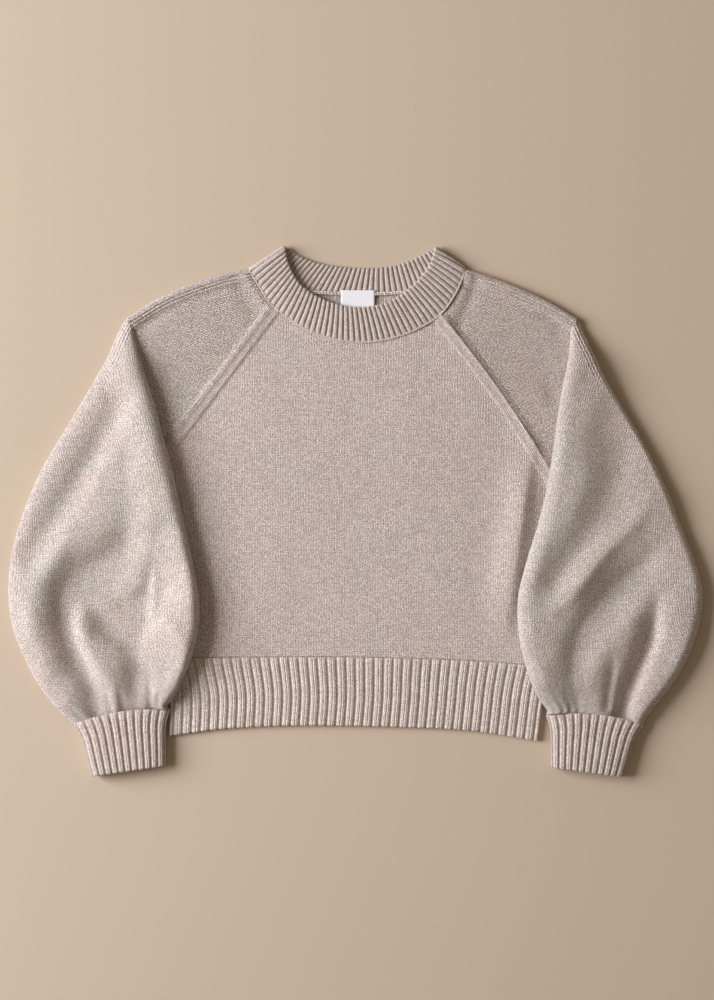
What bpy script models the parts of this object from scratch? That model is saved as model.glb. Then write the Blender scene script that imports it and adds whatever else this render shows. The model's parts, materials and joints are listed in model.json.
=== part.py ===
"""Cropped raglan sweater with balloon sleeves, laid flat with both sleeves folded down over its sides.

Metres, +Z up. X runs across the body, Y from the hem up to the neck, Z is the height over the
surface that the sweater lies on. The origin is the middle of its outline, on that surface.
Left and right are as seen from above with the neck at the top.
"""

from collections import namedtuple

import bmesh
import bpy
import numpy as np

# ---------------------------------------------------------------- driving dimensions, metres

WALL = 0.0026            # plain knit
RIB_WALL = 0.0030        # double rib of neckband, hem and cuffs
SEAM_GAP = 0.00035       # between pieces that meet edge to edge
LAYER_GAP = 0.0005       # between panels that lie on each other
UNDER_LAYER_TOP = WALL                      # back panel lies on the surface
FRONT_BOTTOM = WALL + LAYER_GAP             # underside of the front panel
PANEL_TOP = FRONT_BOTTOM + WALL             # outer face of the front panel
BODY_PUFF = 0.0022       # the front stands this much higher over the middle of the body
RAGLAN_BAND_WIDTH = 0.009
RAGLAN_BAND_RISE = 0.0008
SHOULDER_RADIUS = 0.0045  # roll of the fold along the shoulder
SHOULDER_ROLL_REACH = 0.014

HEM_RIB_COUNT = 82       # single ribs across the front
HEM_RIB_RISE = 0.0009
NECK_RIB_COUNT = 86      # all round
NECK_RIB_RISE = 0.0009
NECK_FRONT_TOP = 0.0066  # height of the front band's outer face at its seam
NECK_EDGE_RISE = 0.0062  # how much higher its free edge stands
CUFF_RIB_COUNT = 12      # across the side that faces up
CUFF_RIB_RISE = 0.0009
CUFF_HEIGHT = 0.0150

SLEEVE_LIFT = 0.0080     # a sleeve's underside over the body's edge
LIFT_RUN = 0.012         # width of the slope between the surface and that height
LIFT_MARGIN = 0.016      # how far outside the body's edge the full height begins
TIP_Y = 0.206            # the folded-in tips of the sleeves come down to the surface here
TIP_RUN = 0.030
CUFF_Y = -0.2145         # and so do their ends at the cuffs
CUFF_RUN = 0.010
SLEEVE_EDGE_SHARE = 0.36  # height of a sleeve's side edges, as a share of its thickness
SLEEVE_ROUNDNESS = 0.8   # exponent of a sleeve's cross-section, 1 is an ellipse
SLEEVE_RINGS = 25
SLEEVE_UPPER_COLUMNS = 26
SLEEVE_UNDER_COLUMNS = 10
SOLID_TOE_RINGS = 4      # the folded-in tip of a sleeve is one solid

LABEL_WIDTH = 0.037
LABEL_LENGTH = 0.030
LABEL_THICKNESS = 0.0008
ROLL_RADIUS = 0.0016     # linked seam inside the back neck

# ---------------------------------------------------------------- outlines

# Neck curves, left to right, in plan.
NECK_SEAM_FRONT = ((-0.1180, 0.2660), (-0.1050, 0.2450), (-0.0925, 0.2266), (-0.0620, 0.2040),
                   (-0.0300, 0.1903), (0.0045, 0.1850), (0.0400, 0.1900), (0.0700, 0.2013),
                   (0.0935, 0.2167), (0.1100, 0.2400), (0.1210, 0.2660))
NECK_SEAM_BACK = ((-0.1180, 0.2660), (-0.0900, 0.2500), (-0.0500, 0.2410), (0.0065, 0.2385),
                  (0.0600, 0.2410), (0.0950, 0.2500), (0.1210, 0.2660))
NECK_EDGE_FRONT = ((-0.0780, 0.2910), (-0.0730, 0.2700), (-0.0590, 0.2475), (-0.0300, 0.2305),
                   (0.0020, 0.2240), (0.0350, 0.2300), (0.0620, 0.2480), (0.0800, 0.2700),
                   (0.0870, 0.2900))
NECK_EDGE_BACK = ((-0.0780, 0.2910), (-0.0600, 0.2800), (-0.0350, 0.2715), (0.0060, 0.2670),
                  (0.0420, 0.2700), (0.0680, 0.2795), (0.0870, 0.2900))

BACK_RAGLAN_SHARE = 0.085  # the back raglan seams end this far along the back neck curve

Side = namedtuple("Side", "raglan_top underarm waist hem_top hem_turn hem_bottom")
LEFT_SIDE = Side((-0.0925, 0.2266), (-0.2170, 0.0620), (-0.2165, -0.0500), (-0.2160, -0.1610),
                 (-0.2055, -0.2050), (-0.2055, -0.2475))
RIGHT_SIDE = Side((0.0935, 0.2167), (0.2210, 0.0330), (0.2180, -0.0650), (0.2140, -0.1710),
                  (0.2060, -0.2050), (0.1995, -0.2530))
HEM_SEAM = ((-0.2160, -0.1610), (-0.1000, -0.1605), (0.0050, -0.1606), (0.1200, -0.1640),
            (0.2140, -0.1710))
HEM_EDGE = ((-0.2055, -0.2475), (-0.1386, -0.2393), (-0.0495, -0.2361), (0.0748, -0.2387),
            (0.1364, -0.2431), (0.1995, -0.2530))

# Each sleeve: the shoulder fold from the neck to the corner where it turns down, and the hidden
# line where the cap runs out under the sleeve, from that corner to the underarm.
LEFT_SHOULDER = ((-0.1180, 0.2660), (-0.1560, 0.2580), (-0.2090, 0.2380), (-0.2520, 0.2120))
LEFT_CAP_END = ((-0.2520, 0.2120), (-0.2440, 0.1600), (-0.2310, 0.1080), (-0.2170, 0.0620))
RIGHT_SHOULDER = ((0.1210, 0.2660), (0.1580, 0.2540), (0.2050, 0.2340), (0.2430, 0.2120))
RIGHT_CAP_END = ((0.2430, 0.2120), (0.2420, 0.1550), (0.2330, 0.0940), (0.2210, 0.0330))

# Cross-sections of the sleeves from the folded tip to the cuff seam. The outer edge is the
# sweater's outline, the inner edge lies on the body. The bow carries a section's middle upwards.
Section = namedtuple("Section", "outer_x outer_y inner_x inner_y height bow")
LEFT_SECTIONS = (
    Section(-0.2560, 0.2030, -0.2480, 0.2060, 0.012, 0.000),
    Section(-0.2640, 0.1880, -0.2430, 0.1880, 0.014, 0.000),
    Section(-0.2730, 0.1690, -0.2365, 0.1680, 0.016, 0.000),
    Section(-0.2850, 0.1480, -0.2300, 0.1460, 0.018, 0.000),
    Section(-0.3025, 0.1175, -0.2200, 0.1165, 0.021, 0.000),
    Section(-0.3210, 0.0870, -0.2123, 0.0860, 0.024, 0.000),
    Section(-0.3410, 0.0540, -0.2035, 0.0540, 0.027, 0.000),
    Section(-0.3575, 0.0190, -0.1953, 0.0190, 0.030, 0.000),
    Section(-0.3713, -0.0190, -0.1870, -0.0190, 0.033, 0.000),
    Section(-0.3795, -0.0560, -0.1788, -0.0560, 0.035, 0.000),
    Section(-0.3817, -0.0930, -0.1722, -0.0935, 0.036, 0.000),
    Section(-0.3773, -0.1265, -0.1727, -0.1285, 0.035, 0.000),
    Section(-0.3652, -0.1590, -0.1799, -0.1595, 0.032, 0.000),
    Section(-0.3498, -0.1890, -0.1914, -0.1880, 0.027, 0.002),
    Section(-0.3322, -0.2130, -0.2000, -0.2050, 0.022, 0.004),
    Section(-0.3168, -0.2280, -0.2068, -0.2140, 0.018, 0.006),
    Section(-0.3050, -0.2335, -0.2090, -0.2185, 0.016, 0.007),
)
RIGHT_SECTIONS = (
    Section(0.2450, 0.2040, 0.2360, 0.2080, 0.012, 0.000),
    Section(0.2530, 0.1880, 0.2355, 0.1890, 0.014, 0.000),
    Section(0.2630, 0.1690, 0.2328, 0.1680, 0.016, 0.000),
    Section(0.2728, 0.1480, 0.2288, 0.1460, 0.018, 0.000),
    Section(0.2904, 0.1185, 0.2228, 0.1165, 0.021, 0.000),
    Section(0.3090, 0.0880, 0.2184, 0.0860, 0.024, 0.000),
    Section(0.3267, 0.0550, 0.2140, 0.0540, 0.027, 0.000),
    Section(0.3438, 0.0190, 0.2079, 0.0190, 0.030, 0.000),
    Section(0.3586, -0.0190, 0.1980, -0.0190, 0.033, 0.000),
    Section(0.3729, -0.0560, 0.1865, -0.0560, 0.035, 0.000),
    Section(0.3810, -0.0915, 0.1777, -0.0935, 0.036, 0.000),
    Section(0.3768, -0.1265, 0.1777, -0.1285, 0.035, 0.000),
    Section(0.3652, -0.1595, 0.1832, -0.1595, 0.032, 0.000),
    Section(0.3471, -0.1910, 0.1920, -0.1890, 0.027, 0.002),
    Section(0.3289, -0.2140, 0.2005, -0.2060, 0.022, 0.004),
    Section(0.3180, -0.2290, 0.2095, -0.2185, 0.018, 0.006),
    Section(0.3108, -0.2343, 0.2134, -0.2240, 0.016, 0.007),
)

# Largest folds of the sleeves: a ridge has a positive height, a trough a negative one. The
# widths are those of the slopes on the left and on the right of the path, walking along it.
Fold = namedtuple("Fold", "path height left_width right_width")
LEFT_FOLDS = (
    Fold(((-0.277, 0.117), (-0.315, 0.051), (-0.348, -0.021)), -0.0025, 0.018, 0.018),
    Fold(((-0.317, 0.007), (-0.340, -0.043), (-0.361, -0.098)), 0.0025, 0.016, 0.016),
    Fold(((-0.253, -0.012), (-0.277, -0.037), (-0.304, -0.081)), -0.0035, 0.011, 0.014),
    Fold(((-0.332, -0.081), (-0.327, -0.140), (-0.290, -0.214)), -0.0075, 0.008, 0.018),
    Fold(((-0.308, -0.094), (-0.312, -0.142), (-0.283, -0.214)), 0.0045, 0.016, 0.008),
    Fold(((-0.292, -0.106), (-0.266, -0.147), (-0.242, -0.177)), -0.0055, 0.008, 0.013),
    Fold(((-0.284, -0.094), (-0.252, -0.128), (-0.222, -0.158)), 0.0035, 0.018, 0.008),
    Fold(((-0.220, -0.056), (-0.227, -0.085), (-0.244, -0.111)), -0.0030, 0.013, 0.013),
    Fold(((-0.198, -0.109), (-0.201, -0.153), (-0.211, -0.199)), 0.0020, 0.013, 0.013),
    Fold(((-0.244, -0.173), (-0.241, -0.197), (-0.241, -0.221)), -0.0030, 0.006, 0.006),
    Fold(((-0.278, -0.182), (-0.270, -0.202), (-0.263, -0.221)), 0.0020, 0.007, 0.007),
)
RIGHT_FOLDS = (
    Fold(((0.264, 0.150), (0.257, 0.078), (0.244, 0.007)), -0.0030, 0.018, 0.018),
    Fold(((0.312, 0.009), (0.268, -0.032), (0.211, -0.098)), 0.0035, 0.014, 0.014),
    Fold(((0.319, -0.015), (0.282, -0.060), (0.251, -0.103), (0.232, -0.147), (0.239, -0.197)),
         -0.0065, 0.012, 0.009),
    Fold(((0.306, -0.098), (0.273, -0.142), (0.253, -0.208)), 0.0045, 0.014, 0.014),
    Fold(((0.312, -0.104), (0.319, -0.133), (0.301, -0.173), (0.282, -0.218)),
         -0.0075, 0.011, 0.007),
    Fold(((0.274, -0.175), (0.270, -0.195), (0.265, -0.217)), -0.0035, 0.006, 0.006),
    Fold(((0.343, -0.120), (0.332, -0.164), (0.293, -0.225)), 0.0030, 0.013, 0.013),
    Fold(((0.214, -0.111), (0.213, -0.153), (0.224, -0.199)), -0.0030, 0.011, 0.011),
)

# Cuffs: side edges at the seam and at the free end.
Cuff = namedtuple("Cuff", "outer_seam inner_seam outer_end inner_end seam_bow")
LEFT_CUFF = Cuff((-0.3045, -0.2338), (-0.2090, -0.2188), (-0.2893, -0.2915), (-0.2090, -0.2794), 0.007)
RIGHT_CUFF = Cuff((0.3103, -0.2346), (0.2134, -0.2243), (0.2930, -0.2920), (0.2145, -0.2816), 0.007)

# Soft undulations of the front panel: troughs running down from the shoulders.
BODY_FOLDS = (
    Fold(((-0.120, 0.120), (-0.135, 0.000), (-0.120, -0.120)), -0.0010, 0.030, 0.030),
    Fold(((0.120, 0.110), (0.140, -0.010), (0.150, -0.130)), -0.0012, 0.024, 0.030),
    Fold(((0.000, 0.150), (0.010, 0.020), (-0.010, -0.120)), -0.0007, 0.040, 0.040),
)

KNIT_COLOR = (0.55, 0.45, 0.41, 1.0)
RIB_COLOR = (0.60, 0.51, 0.46, 1.0)
LABEL_COLOR = (0.84, 0.82, 0.90, 1.0)


# ---------------------------------------------------------------- curves and heights

def spline(rows, places):
    """Catmull-Rom curve through rows, read at places counted in rows from 0."""
    rows = np.asarray(rows, float)
    ends = (2 * rows[:1] - rows[1:2], 2 * rows[-1:] - rows[-2:-1])
    padded = np.concatenate([ends[0], rows, ends[1]])
    span = np.clip(np.floor(places).astype(int), 0, len(rows) - 2)
    t = (np.asarray(places, float) - span)[:, None]
    before, start, end, after = (padded[span + k] for k in range(4))
    slope_in = (end - before) / 2
    slope_out = (after - start) / 2
    return ((2 * t**3 - 3 * t**2 + 1) * start + (t**3 - 2 * t**2 + t) * slope_in
            + (3 * t**2 - 2 * t**3) * end + (t**3 - t**2) * slope_out)


def lengths_along(points):
    """Distance walked along a row of points up to each of them."""
    steps = np.linalg.norm(np.diff(points, axis=0), axis=1)
    return np.concatenate([[0.0], np.cumsum(steps)])


def read_along(points, shares):
    """Points at the given shares of a polyline's length."""
    walked = lengths_along(points)
    wanted = np.asarray(shares) * walked[-1]
    return np.stack([np.interp(wanted, walked, points[:, k]) for k in range(points.shape[1])], axis=1)


def curve(points, shares, steps=40):
    """Smooth curve through points, read at shares of its length."""
    dense = spline(points, np.linspace(0, len(points) - 1, steps * (len(points) - 1) + 1))
    return read_along(dense, shares)


def smooth_step(value):
    """0 below 0, 1 above 1, an even slope between."""
    t = np.clip(value, 0.0, 1.0)
    return t * t * (3 - 2 * t)


def fold_height(x, y, folds):
    """Sum of all folds at each point: a bell across each path, fading out past its ends."""
    total = np.zeros_like(x)
    for fold in folds:
        path = curve(fold.path, np.linspace(0, 1, 24))
        heading = np.gradient(path, axis=0)
        heading /= np.linalg.norm(heading, axis=1)[:, None]
        away_x = x[..., None] - path[:, 0]
        away_y = y[..., None] - path[:, 1]
        distance = np.hypot(away_x, away_y)
        nearest = np.argmin(distance, axis=-1)
        pick = nearest[..., None]
        near = np.take_along_axis(distance, pick, -1)[..., 0] + 1e-6
        side_x = np.take_along_axis(away_x, pick, -1)[..., 0] / near
        side_y = np.take_along_axis(away_y, pick, -1)[..., 0] / near
        leftness = 0.5 + 0.5 * (heading[nearest, 0] * side_y - heading[nearest, 1] * side_x)
        width = fold.right_width + (fold.left_width - fold.right_width) * leftness
        total = total + fold.height * np.exp(-(near / width) ** 2)
    return total


def rib_wave(phase):
    """0 in a furrow and 1 on a rib, phase counted in ribs."""
    return 0.5 - 0.5 * np.cos(2 * np.pi * phase)


# ---------------------------------------------------------------- meshes

def add_object(name, points, faces, material):
    """Closed mesh object with its faces pointing out."""
    mesh = bpy.data.meshes.new(name)
    mesh.from_pydata([tuple(p) for p in points], [], faces)
    work = bmesh.new()
    work.from_mesh(mesh)
    bmesh.ops.recalc_face_normals(work, faces=work.faces)
    work.to_mesh(mesh)
    work.free()
    mesh.materials.append(material)
    mesh.shade_smooth()
    mesh.set_sharp_from_angle(angle=np.radians(50))
    item = bpy.data.objects.new(name, mesh)
    bpy.context.scene.collection.objects.link(item)
    return item


def grid_faces(index):
    """Quads of a grid of vertex numbers."""
    a, b = index[:-1, :-1], index[:-1, 1:]
    c, d = index[1:, 1:], index[1:, :-1]
    return np.stack([a, b, c, d], axis=-1).reshape(-1, 4).tolist()


def add_wall(name, outer, inner, material, closed=False):
    """Wall between two grids of points with the same rows and columns.

    Rows run across, columns along; closed joins the last column to the first.
    """
    rows, columns = outer.shape[:2]
    numbers = np.arange(rows * columns).reshape(rows, columns)
    if closed:
        numbers = np.concatenate([numbers, numbers[:, :1]], axis=1)
    under = numbers + rows * columns
    faces = grid_faces(numbers) + grid_faces(under)
    faces += grid_faces(np.stack([numbers[0], under[0]]))
    faces += grid_faces(np.stack([numbers[-1], under[-1]]))
    if not closed:
        faces += grid_faces(np.stack([numbers[:, 0], under[:, 0]]))
        faces += grid_faces(np.stack([numbers[:, -1], under[:, -1]]))
    points = np.concatenate([outer.reshape(-1, 3), inner.reshape(-1, 3)])
    return add_object(name, points, faces, material)


def add_closed_tube(name, outer, inner, material):
    """Tube of rings with a wall, open at its last ring and closed to a tip at its first.

    The inner rings are fewer: the tip is solid up to where they begin.
    """
    columns = outer.shape[1]
    outer_numbers = np.arange(outer.shape[0] * columns).reshape(-1, columns)
    inner_numbers = np.arange(inner.shape[0] * columns).reshape(-1, columns) + outer_numbers.size
    points = [outer.reshape(-1, 3), inner.reshape(-1, 3)]
    faces = []
    for numbers, rings in ((outer_numbers, outer), (inner_numbers, inner)):
        looped = np.concatenate([numbers, numbers[:, :1]], axis=1)
        faces += grid_faces(looped)
        tip = sum(len(block) for block in points)
        points.append(rings[0].mean(axis=0)[None])
        faces += [(int(looped[0, k]), int(looped[0, k + 1]), tip) for k in range(columns)]
    rim = np.stack([outer_numbers[-1], inner_numbers[-1]])
    faces += grid_faces(np.concatenate([rim, rim[:, :1]], axis=1))
    return add_object(name, np.concatenate(points), faces, material)


def make_material(name, color, roughness):
    """Principled material of one colour."""
    material = bpy.data.materials.new(name)
    material.use_nodes = True
    shader = material.node_tree.nodes["Principled BSDF"]
    shader.inputs["Base Color"].default_value = color
    shader.inputs["Roughness"].default_value = roughness
    shader.inputs["Metallic"].default_value = 0.0
    material.diffuse_color = color
    return material


# ---------------------------------------------------------------- body panels

def panel_edge(side, rows):
    """Side edge of a panel from the hem seam over the underarm to the neck, in plan."""
    lower = curve((side.hem_top, side.waist, side.underarm), np.linspace(0, 1, rows // 2 + 1))
    raglan = np.linspace(side.underarm, side.raglan_top, rows - rows // 2)
    return np.concatenate([lower, raglan[1:]])


def coons(bottom, top, left, right, shares):
    """Patch between four edges: a row for each point of the sides, columns at shares of its width.

    The bottom and top edges are finely divided curves.
    """
    u = shares[..., None]
    v = np.linspace(0, 1, len(left))[:, None, None]
    even = np.linspace(0, 1, len(bottom))
    below = np.stack([np.interp(shares, even, bottom[:, k]) for k in (0, 1)], axis=2)
    above = np.stack([np.interp(shares, even, top[:, k]) for k in (0, 1)], axis=2)
    between_sides = (1 - u) * left[:, None] + u * right[:, None]
    between_ends = (1 - v) * below + v * above
    corners = ((1 - v) * ((1 - u) * bottom[0] + u * bottom[-1])
               + v * ((1 - u) * top[0] + u * top[-1]))
    return between_sides + between_ends - corners


def column_shares(left, right, steps, count):
    """Shares of each row's width: given steps in from both sides, even columns between."""
    width = np.linalg.norm(right - left, axis=1)[:, None]
    near = np.asarray(steps)[None, :] / width
    even = np.linspace(0, 1, count)[None, 1:-1]
    middle = near[:, -1:] + (1 - 2 * near[:, -1:]) * even
    return np.concatenate([near, middle, 1 - near[:, ::-1]], axis=1)


def shrink(plan, gap):
    """Plan grid with each of its edges moved inwards by the gap."""
    moved = plan.copy()
    for axis in (0, 1):
        lines = np.moveaxis(plan, axis, 0)
        target = np.moveaxis(moved, axis, 0)
        for edge, inside in ((0, 1), (-1, -2)):
            along = np.gradient(lines[edge], axis=0)
            normal = np.stack([-along[:, 1], along[:, 0]], axis=1)
            normal /= np.linalg.norm(normal, axis=1)[:, None]
            toward = np.sum((lines[inside] - lines[edge]) * normal, axis=1)
            target[edge] += normal * np.sign(toward)[:, None] * gap
    return moved


def line_distance(plan, start, end):
    """Distance of each plan point from the line through start and end."""
    along = np.subtract(end, start)
    along = along / np.linalg.norm(along)
    return np.abs((plan[..., 0] - start[0]) * along[1] - (plan[..., 1] - start[1]) * along[0])


def raglan_rise(plan, side):
    """Height of the fashioned band that runs beside a raglan seam."""
    distance = line_distance(plan, side.underarm, side.raglan_top)
    above = plan[..., 1] > side.underarm[1] - RAGLAN_BAND_WIDTH
    band = smooth_step((RAGLAN_BAND_WIDTH - distance) / 0.0015 + 1)
    return RAGLAN_BAND_RISE * band * above


def body_top(plan):
    """Height of the front panel's underside over the middle: puffed up, flat at the edges."""
    half_width = 0.215
    inward = smooth_step((half_width - 0.045 - np.abs(plan[..., 0])) / 0.06)
    lengthwise = smooth_step((plan[..., 1] + 0.160) / 0.05)
    lengthwise *= 1 - 0.8 * smooth_step((plan[..., 1] - 0.12) / 0.06)
    height = BODY_PUFF + fold_height(plan[..., 0], plan[..., 1], BODY_FOLDS)
    return FRONT_BOTTOM + height * inward * lengthwise


def stack(plan, height):
    """Points of a plan grid at the given heights."""
    return np.concatenate([plan, np.broadcast_to(height, plan.shape[:2])[..., None]], axis=2)


def back_neck_corners():
    """Where the back raglan seams meet the neckband."""
    return curve(NECK_SEAM_BACK, (BACK_RAGLAN_SHARE, 1 - BACK_RAGLAN_SHARE))


def neck_stretch(points, left, right, count):
    """Part of a neck curve between two corner points, read at even shares."""
    dense = curve(points, np.linspace(0, 1, 1200))
    first = int(np.argmin(np.linalg.norm(dense - np.asarray(left), axis=1)))
    last = int(np.argmin(np.linalg.norm(dense - np.asarray(right), axis=1)))
    step = 1 if last > first else -1
    between = np.arange(first, last + step, step)
    return read_along(dense[between], np.linspace(0, 1, count))


def build_panels(material):
    """Front and back of the body."""
    rows = 15
    fine = 400
    band_step = RAGLAN_BAND_WIDTH * 1.25
    left = panel_edge(LEFT_SIDE, rows)
    right = panel_edge(RIGHT_SIDE, rows)
    hem = read_along(np.array([left[0], *curve(HEM_SEAM, np.linspace(0, 1, fine))[1:-1], right[0]]),
                     np.linspace(0, 1, fine))
    neck = neck_stretch(NECK_SEAM_FRONT, left[-1], right[-1], fine)
    shares = column_shares(left, right, (0.0, band_step, band_step + 0.002), 21)
    plan = shrink(coons(hem, neck, left, right, shares), SEAM_GAP)
    band = np.maximum(raglan_rise(plan, LEFT_SIDE), raglan_rise(plan, RIGHT_SIDE))
    underside = body_top(plan)
    add_wall("front_panel", stack(plan, underside + WALL + band), stack(plan, underside), material)

    # The back reaches higher: its raglan lines end on the back neck curve.
    rows = 10
    corners = back_neck_corners()
    back_left = panel_edge(LEFT_SIDE._replace(raglan_top=corners[0]), rows)
    back_right = panel_edge(RIGHT_SIDE._replace(raglan_top=corners[1]), rows)
    back_neck = neck_stretch(NECK_SEAM_BACK, corners[0], corners[1], fine)
    shares = column_shares(back_left, back_right, (0.0,), 19)
    back = shrink(coons(hem, back_neck, back_left, back_right, shares), SEAM_GAP)
    add_wall("back_panel", stack(back, WALL), stack(back, 0.0), material)


# ---------------------------------------------------------------- hem

def hem_side(side, rows):
    """Side edge of the hem from its seam down to its free edge."""
    return curve((side.hem_top, side.hem_turn, side.hem_bottom), np.linspace(0, 1, rows))


def build_hem(material):
    """Both halves of the ribbed hem; the ribs stand on the half that faces up."""
    rows = 3
    fine = 400
    left = hem_side(LEFT_SIDE, rows)
    right = hem_side(RIGHT_SIDE, rows)
    seam = curve(HEM_SEAM, np.linspace(0, 1, fine))
    edge = curve(HEM_EDGE, np.linspace(0, 1, fine))
    for name, columns, bottom, rise in (
        ("hem_front", 2 * HEM_RIB_COUNT + 1, FRONT_BOTTOM, HEM_RIB_RISE),
        ("hem_back", 21, 0.0, 0.0),
    ):
        shares = np.linspace(0, 1, columns)[None, :] * np.ones((rows, 1))
        plan = shrink(coons(seam, edge, left, right, shares), SEAM_GAP)
        ribs = rise * rib_wave(shares * HEM_RIB_COUNT)
        ribs[[0, -1]] *= 0.5
        wall = RIB_WALL if rise else WALL
        add_wall(name, stack(plan, bottom + wall + ribs), stack(plan, bottom), material)


# ---------------------------------------------------------------- neckband

def flattened_ring(front, back, top, shares):
    """Closed ring lying flat: a front curve at the height top over a back curve at 0.

    Both curves share their ends, where the ring turns over in a half circle. The ring is read
    at shares of its length, starting at the left turn and going over the front.
    """
    halves = []
    for plan, sign in ((front, 1), (back, -1)):
        walked = lengths_along(plan)
        from_end = np.minimum(walked, walked[-1] - walked)
        radius = top / 2
        inside = np.clip(radius - from_end, 0, None)
        height = radius + sign * np.sqrt(radius**2 - inside**2)
        halves.append(np.column_stack([plan, height]))
    loop = np.concatenate([halves[0], halves[1][-2::-1]])
    return read_along(loop, shares)


def surface_normals(grid):
    """Unit normals of a grid whose columns close on themselves."""
    along = np.roll(grid, -1, axis=1) - np.roll(grid, 1, axis=1)
    across = np.gradient(grid, axis=0)
    normal = np.cross(across, along)
    return normal / np.linalg.norm(normal, axis=2)[..., None]


def build_neckband(material):
    """Ribbed band, one ring: its back half lies on the surface, its front half over it."""
    rows = 4
    columns = 2 * NECK_RIB_COUNT
    dense = np.linspace(0, 1, 500)
    seam = [curve(NECK_SEAM_FRONT, dense), curve(NECK_SEAM_BACK, dense)]
    edge = [curve(NECK_EDGE_FRONT, dense), curve(NECK_EDGE_BACK, dense)]
    turn_shares = np.arange(columns) / columns
    rings = []
    for share in np.linspace(0, 1, rows):
        front = (1 - share) * seam[0] + share * edge[0]
        back = (1 - share) * seam[1] + share * edge[1]
        middle = np.sin(np.pi * dense) ** 0.5
        top = 2 * SHOULDER_RADIUS + (NECK_FRONT_TOP - 2 * SHOULDER_RADIUS) * middle
        top = top + NECK_EDGE_RISE * np.sin(share * np.pi / 2)
        rings.append(flattened_ring(front, back, top, turn_shares))
    plain = np.stack(rings)
    normal = surface_normals(plain)
    if normal[0, columns // 4, 2] < 0:
        normal = -normal
    ribs = NECK_RIB_RISE * rib_wave(np.arange(columns) / 2)[None, :] * np.ones((rows, 1))
    ribs[[0, -1]] *= 0.3
    ribs = ribs * smooth_step((plain[..., 2] - 0.001) / 0.003)
    add_wall("neckband", plain + normal * ribs[..., None], plain - normal * RIB_WALL, material,
             closed=True)


def build_neck_seam_roll(material):
    """Linked seam that shows as a roll inside the back of the neck."""
    path = neck_stretch(NECK_SEAM_BACK, (-0.066, 0.2435), (0.080, 0.2450), 15)
    shape = bpy.data.curves.new("neck_seam_roll", "CURVE")
    shape.dimensions = "3D"
    shape.bevel_depth = ROLL_RADIUS
    shape.bevel_resolution = 2
    shape.use_fill_caps = True
    line = shape.splines.new("POLY")
    line.points.add(len(path) - 1)
    height = RIB_WALL + ROLL_RADIUS + SEAM_GAP
    for point, (x, y) in zip(line.points, path):
        point.co = (x, y, height, 1.0)
    shape.materials.append(material)
    item = bpy.data.objects.new("neck_seam_roll", shape)
    bpy.context.scene.collection.objects.link(item)


def build_label(material):
    """Blank label: sewn on over the seam roll, hanging down over the back panel."""
    top_y = 0.2425
    middle_x = 0.0020
    across = np.array([-0.5, 0.5]) * LABEL_WIDTH + middle_x
    down = np.linspace(0, LABEL_LENGTH, 13)
    over_roll = RIB_WALL + 2 * ROLL_RADIUS + 2 * SEAM_GAP
    on_panel = UNDER_LAYER_TOP + SEAM_GAP
    height = over_roll + (on_panel - over_roll) * smooth_step((down - 0.0065) / 0.006)
    x, drop = np.meshgrid(across, down)
    plan = np.stack([x, top_y - drop], axis=2)
    low = np.repeat(height[:, None], 2, axis=1)
    add_wall("neck_label", stack(plan, low + LABEL_THICKNESS), stack(plan, low), material)


# ---------------------------------------------------------------- sleeves

def hidden_edge_x(y, side, cap_end):
    """X of the body's hidden side edge under a sleeve, at each y."""
    points = np.array([*cap_end, side.waist, side.hem_top, side.hem_turn])
    order = np.argsort(points[:, 1])
    return np.interp(y, points[order, 1], points[order, 0])


def support(x, y, side, cap_end, run, margin):
    """Height of what a sleeve lies on: the surface, and the lift over the body and just outside it."""
    outward = np.sign(side.underarm[0])
    past_edge = outward * (hidden_edge_x(y, side, cap_end) - x)
    share = smooth_step((past_edge + margin + run) / run)
    share *= smooth_step((y - CUFF_Y) / CUFF_RUN)
    share *= smooth_step((TIP_Y - y) / TIP_RUN)
    return SLEEVE_LIFT * share


def sleeve_rings(sections, folds, side, cap_end, inset):
    """Rings of a sleeve's surface, moved inwards by the inset, from the tip to the cuff seam.

    Each ring is a flattened rounded loop between its outer and inner edge points. Its top is a
    crown with the folds on it, its underside lies on the surface and on the body.
    """
    places = np.linspace(0, len(sections) - 1, SLEEVE_RINGS)
    outer_x, outer_y, inner_x, inner_y, height, bow = spline(sections, places).T[..., None]
    over = np.linspace(0, np.pi, SLEEVE_UPPER_COLUMNS + 1)
    back_under = np.linspace(np.pi, 2 * np.pi, SLEEVE_UNDER_COLUMNS + 1)[1:-1]
    turn = np.concatenate([over, back_under])[None, :]
    upper = (np.arange(turn.shape[1]) <= SLEEVE_UPPER_COLUMNS)[None, :]
    cosine = np.cos(turn)
    across = 0.5 - 0.5 * np.sign(cosine) * np.abs(cosine) ** SLEEVE_ROUNDNESS
    crown = np.abs(np.sin(turn)) ** SLEEVE_ROUNDNESS
    width = np.hypot(inner_x - outer_x, inner_y - outer_y)
    across = 0.5 + (across - 0.5) * (1 - 2.4 * inset / width)
    x = outer_x + (inner_x - outer_x) * across
    y = outer_y + (inner_y - outer_y) * across + bow * 4 * across * (1 - across)
    soft_support = support(x, y, side, cap_end, 0.060, LIFT_MARGIN)
    close_support = support(x, y, side, cap_end, LIFT_RUN, LIFT_MARGIN)
    edge = soft_support + SLEEVE_EDGE_SHARE * height
    crest = (1 - SLEEVE_EDGE_SHARE) * height - inset
    top = edge + (crest + fold_height(x, y, folds)) * crown
    drop = np.clip(1.3 * crown, 0, 1)
    under = edge + (close_support + inset - edge) * drop
    return np.stack([x, y, np.where(upper, top, under)], axis=2)


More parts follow.
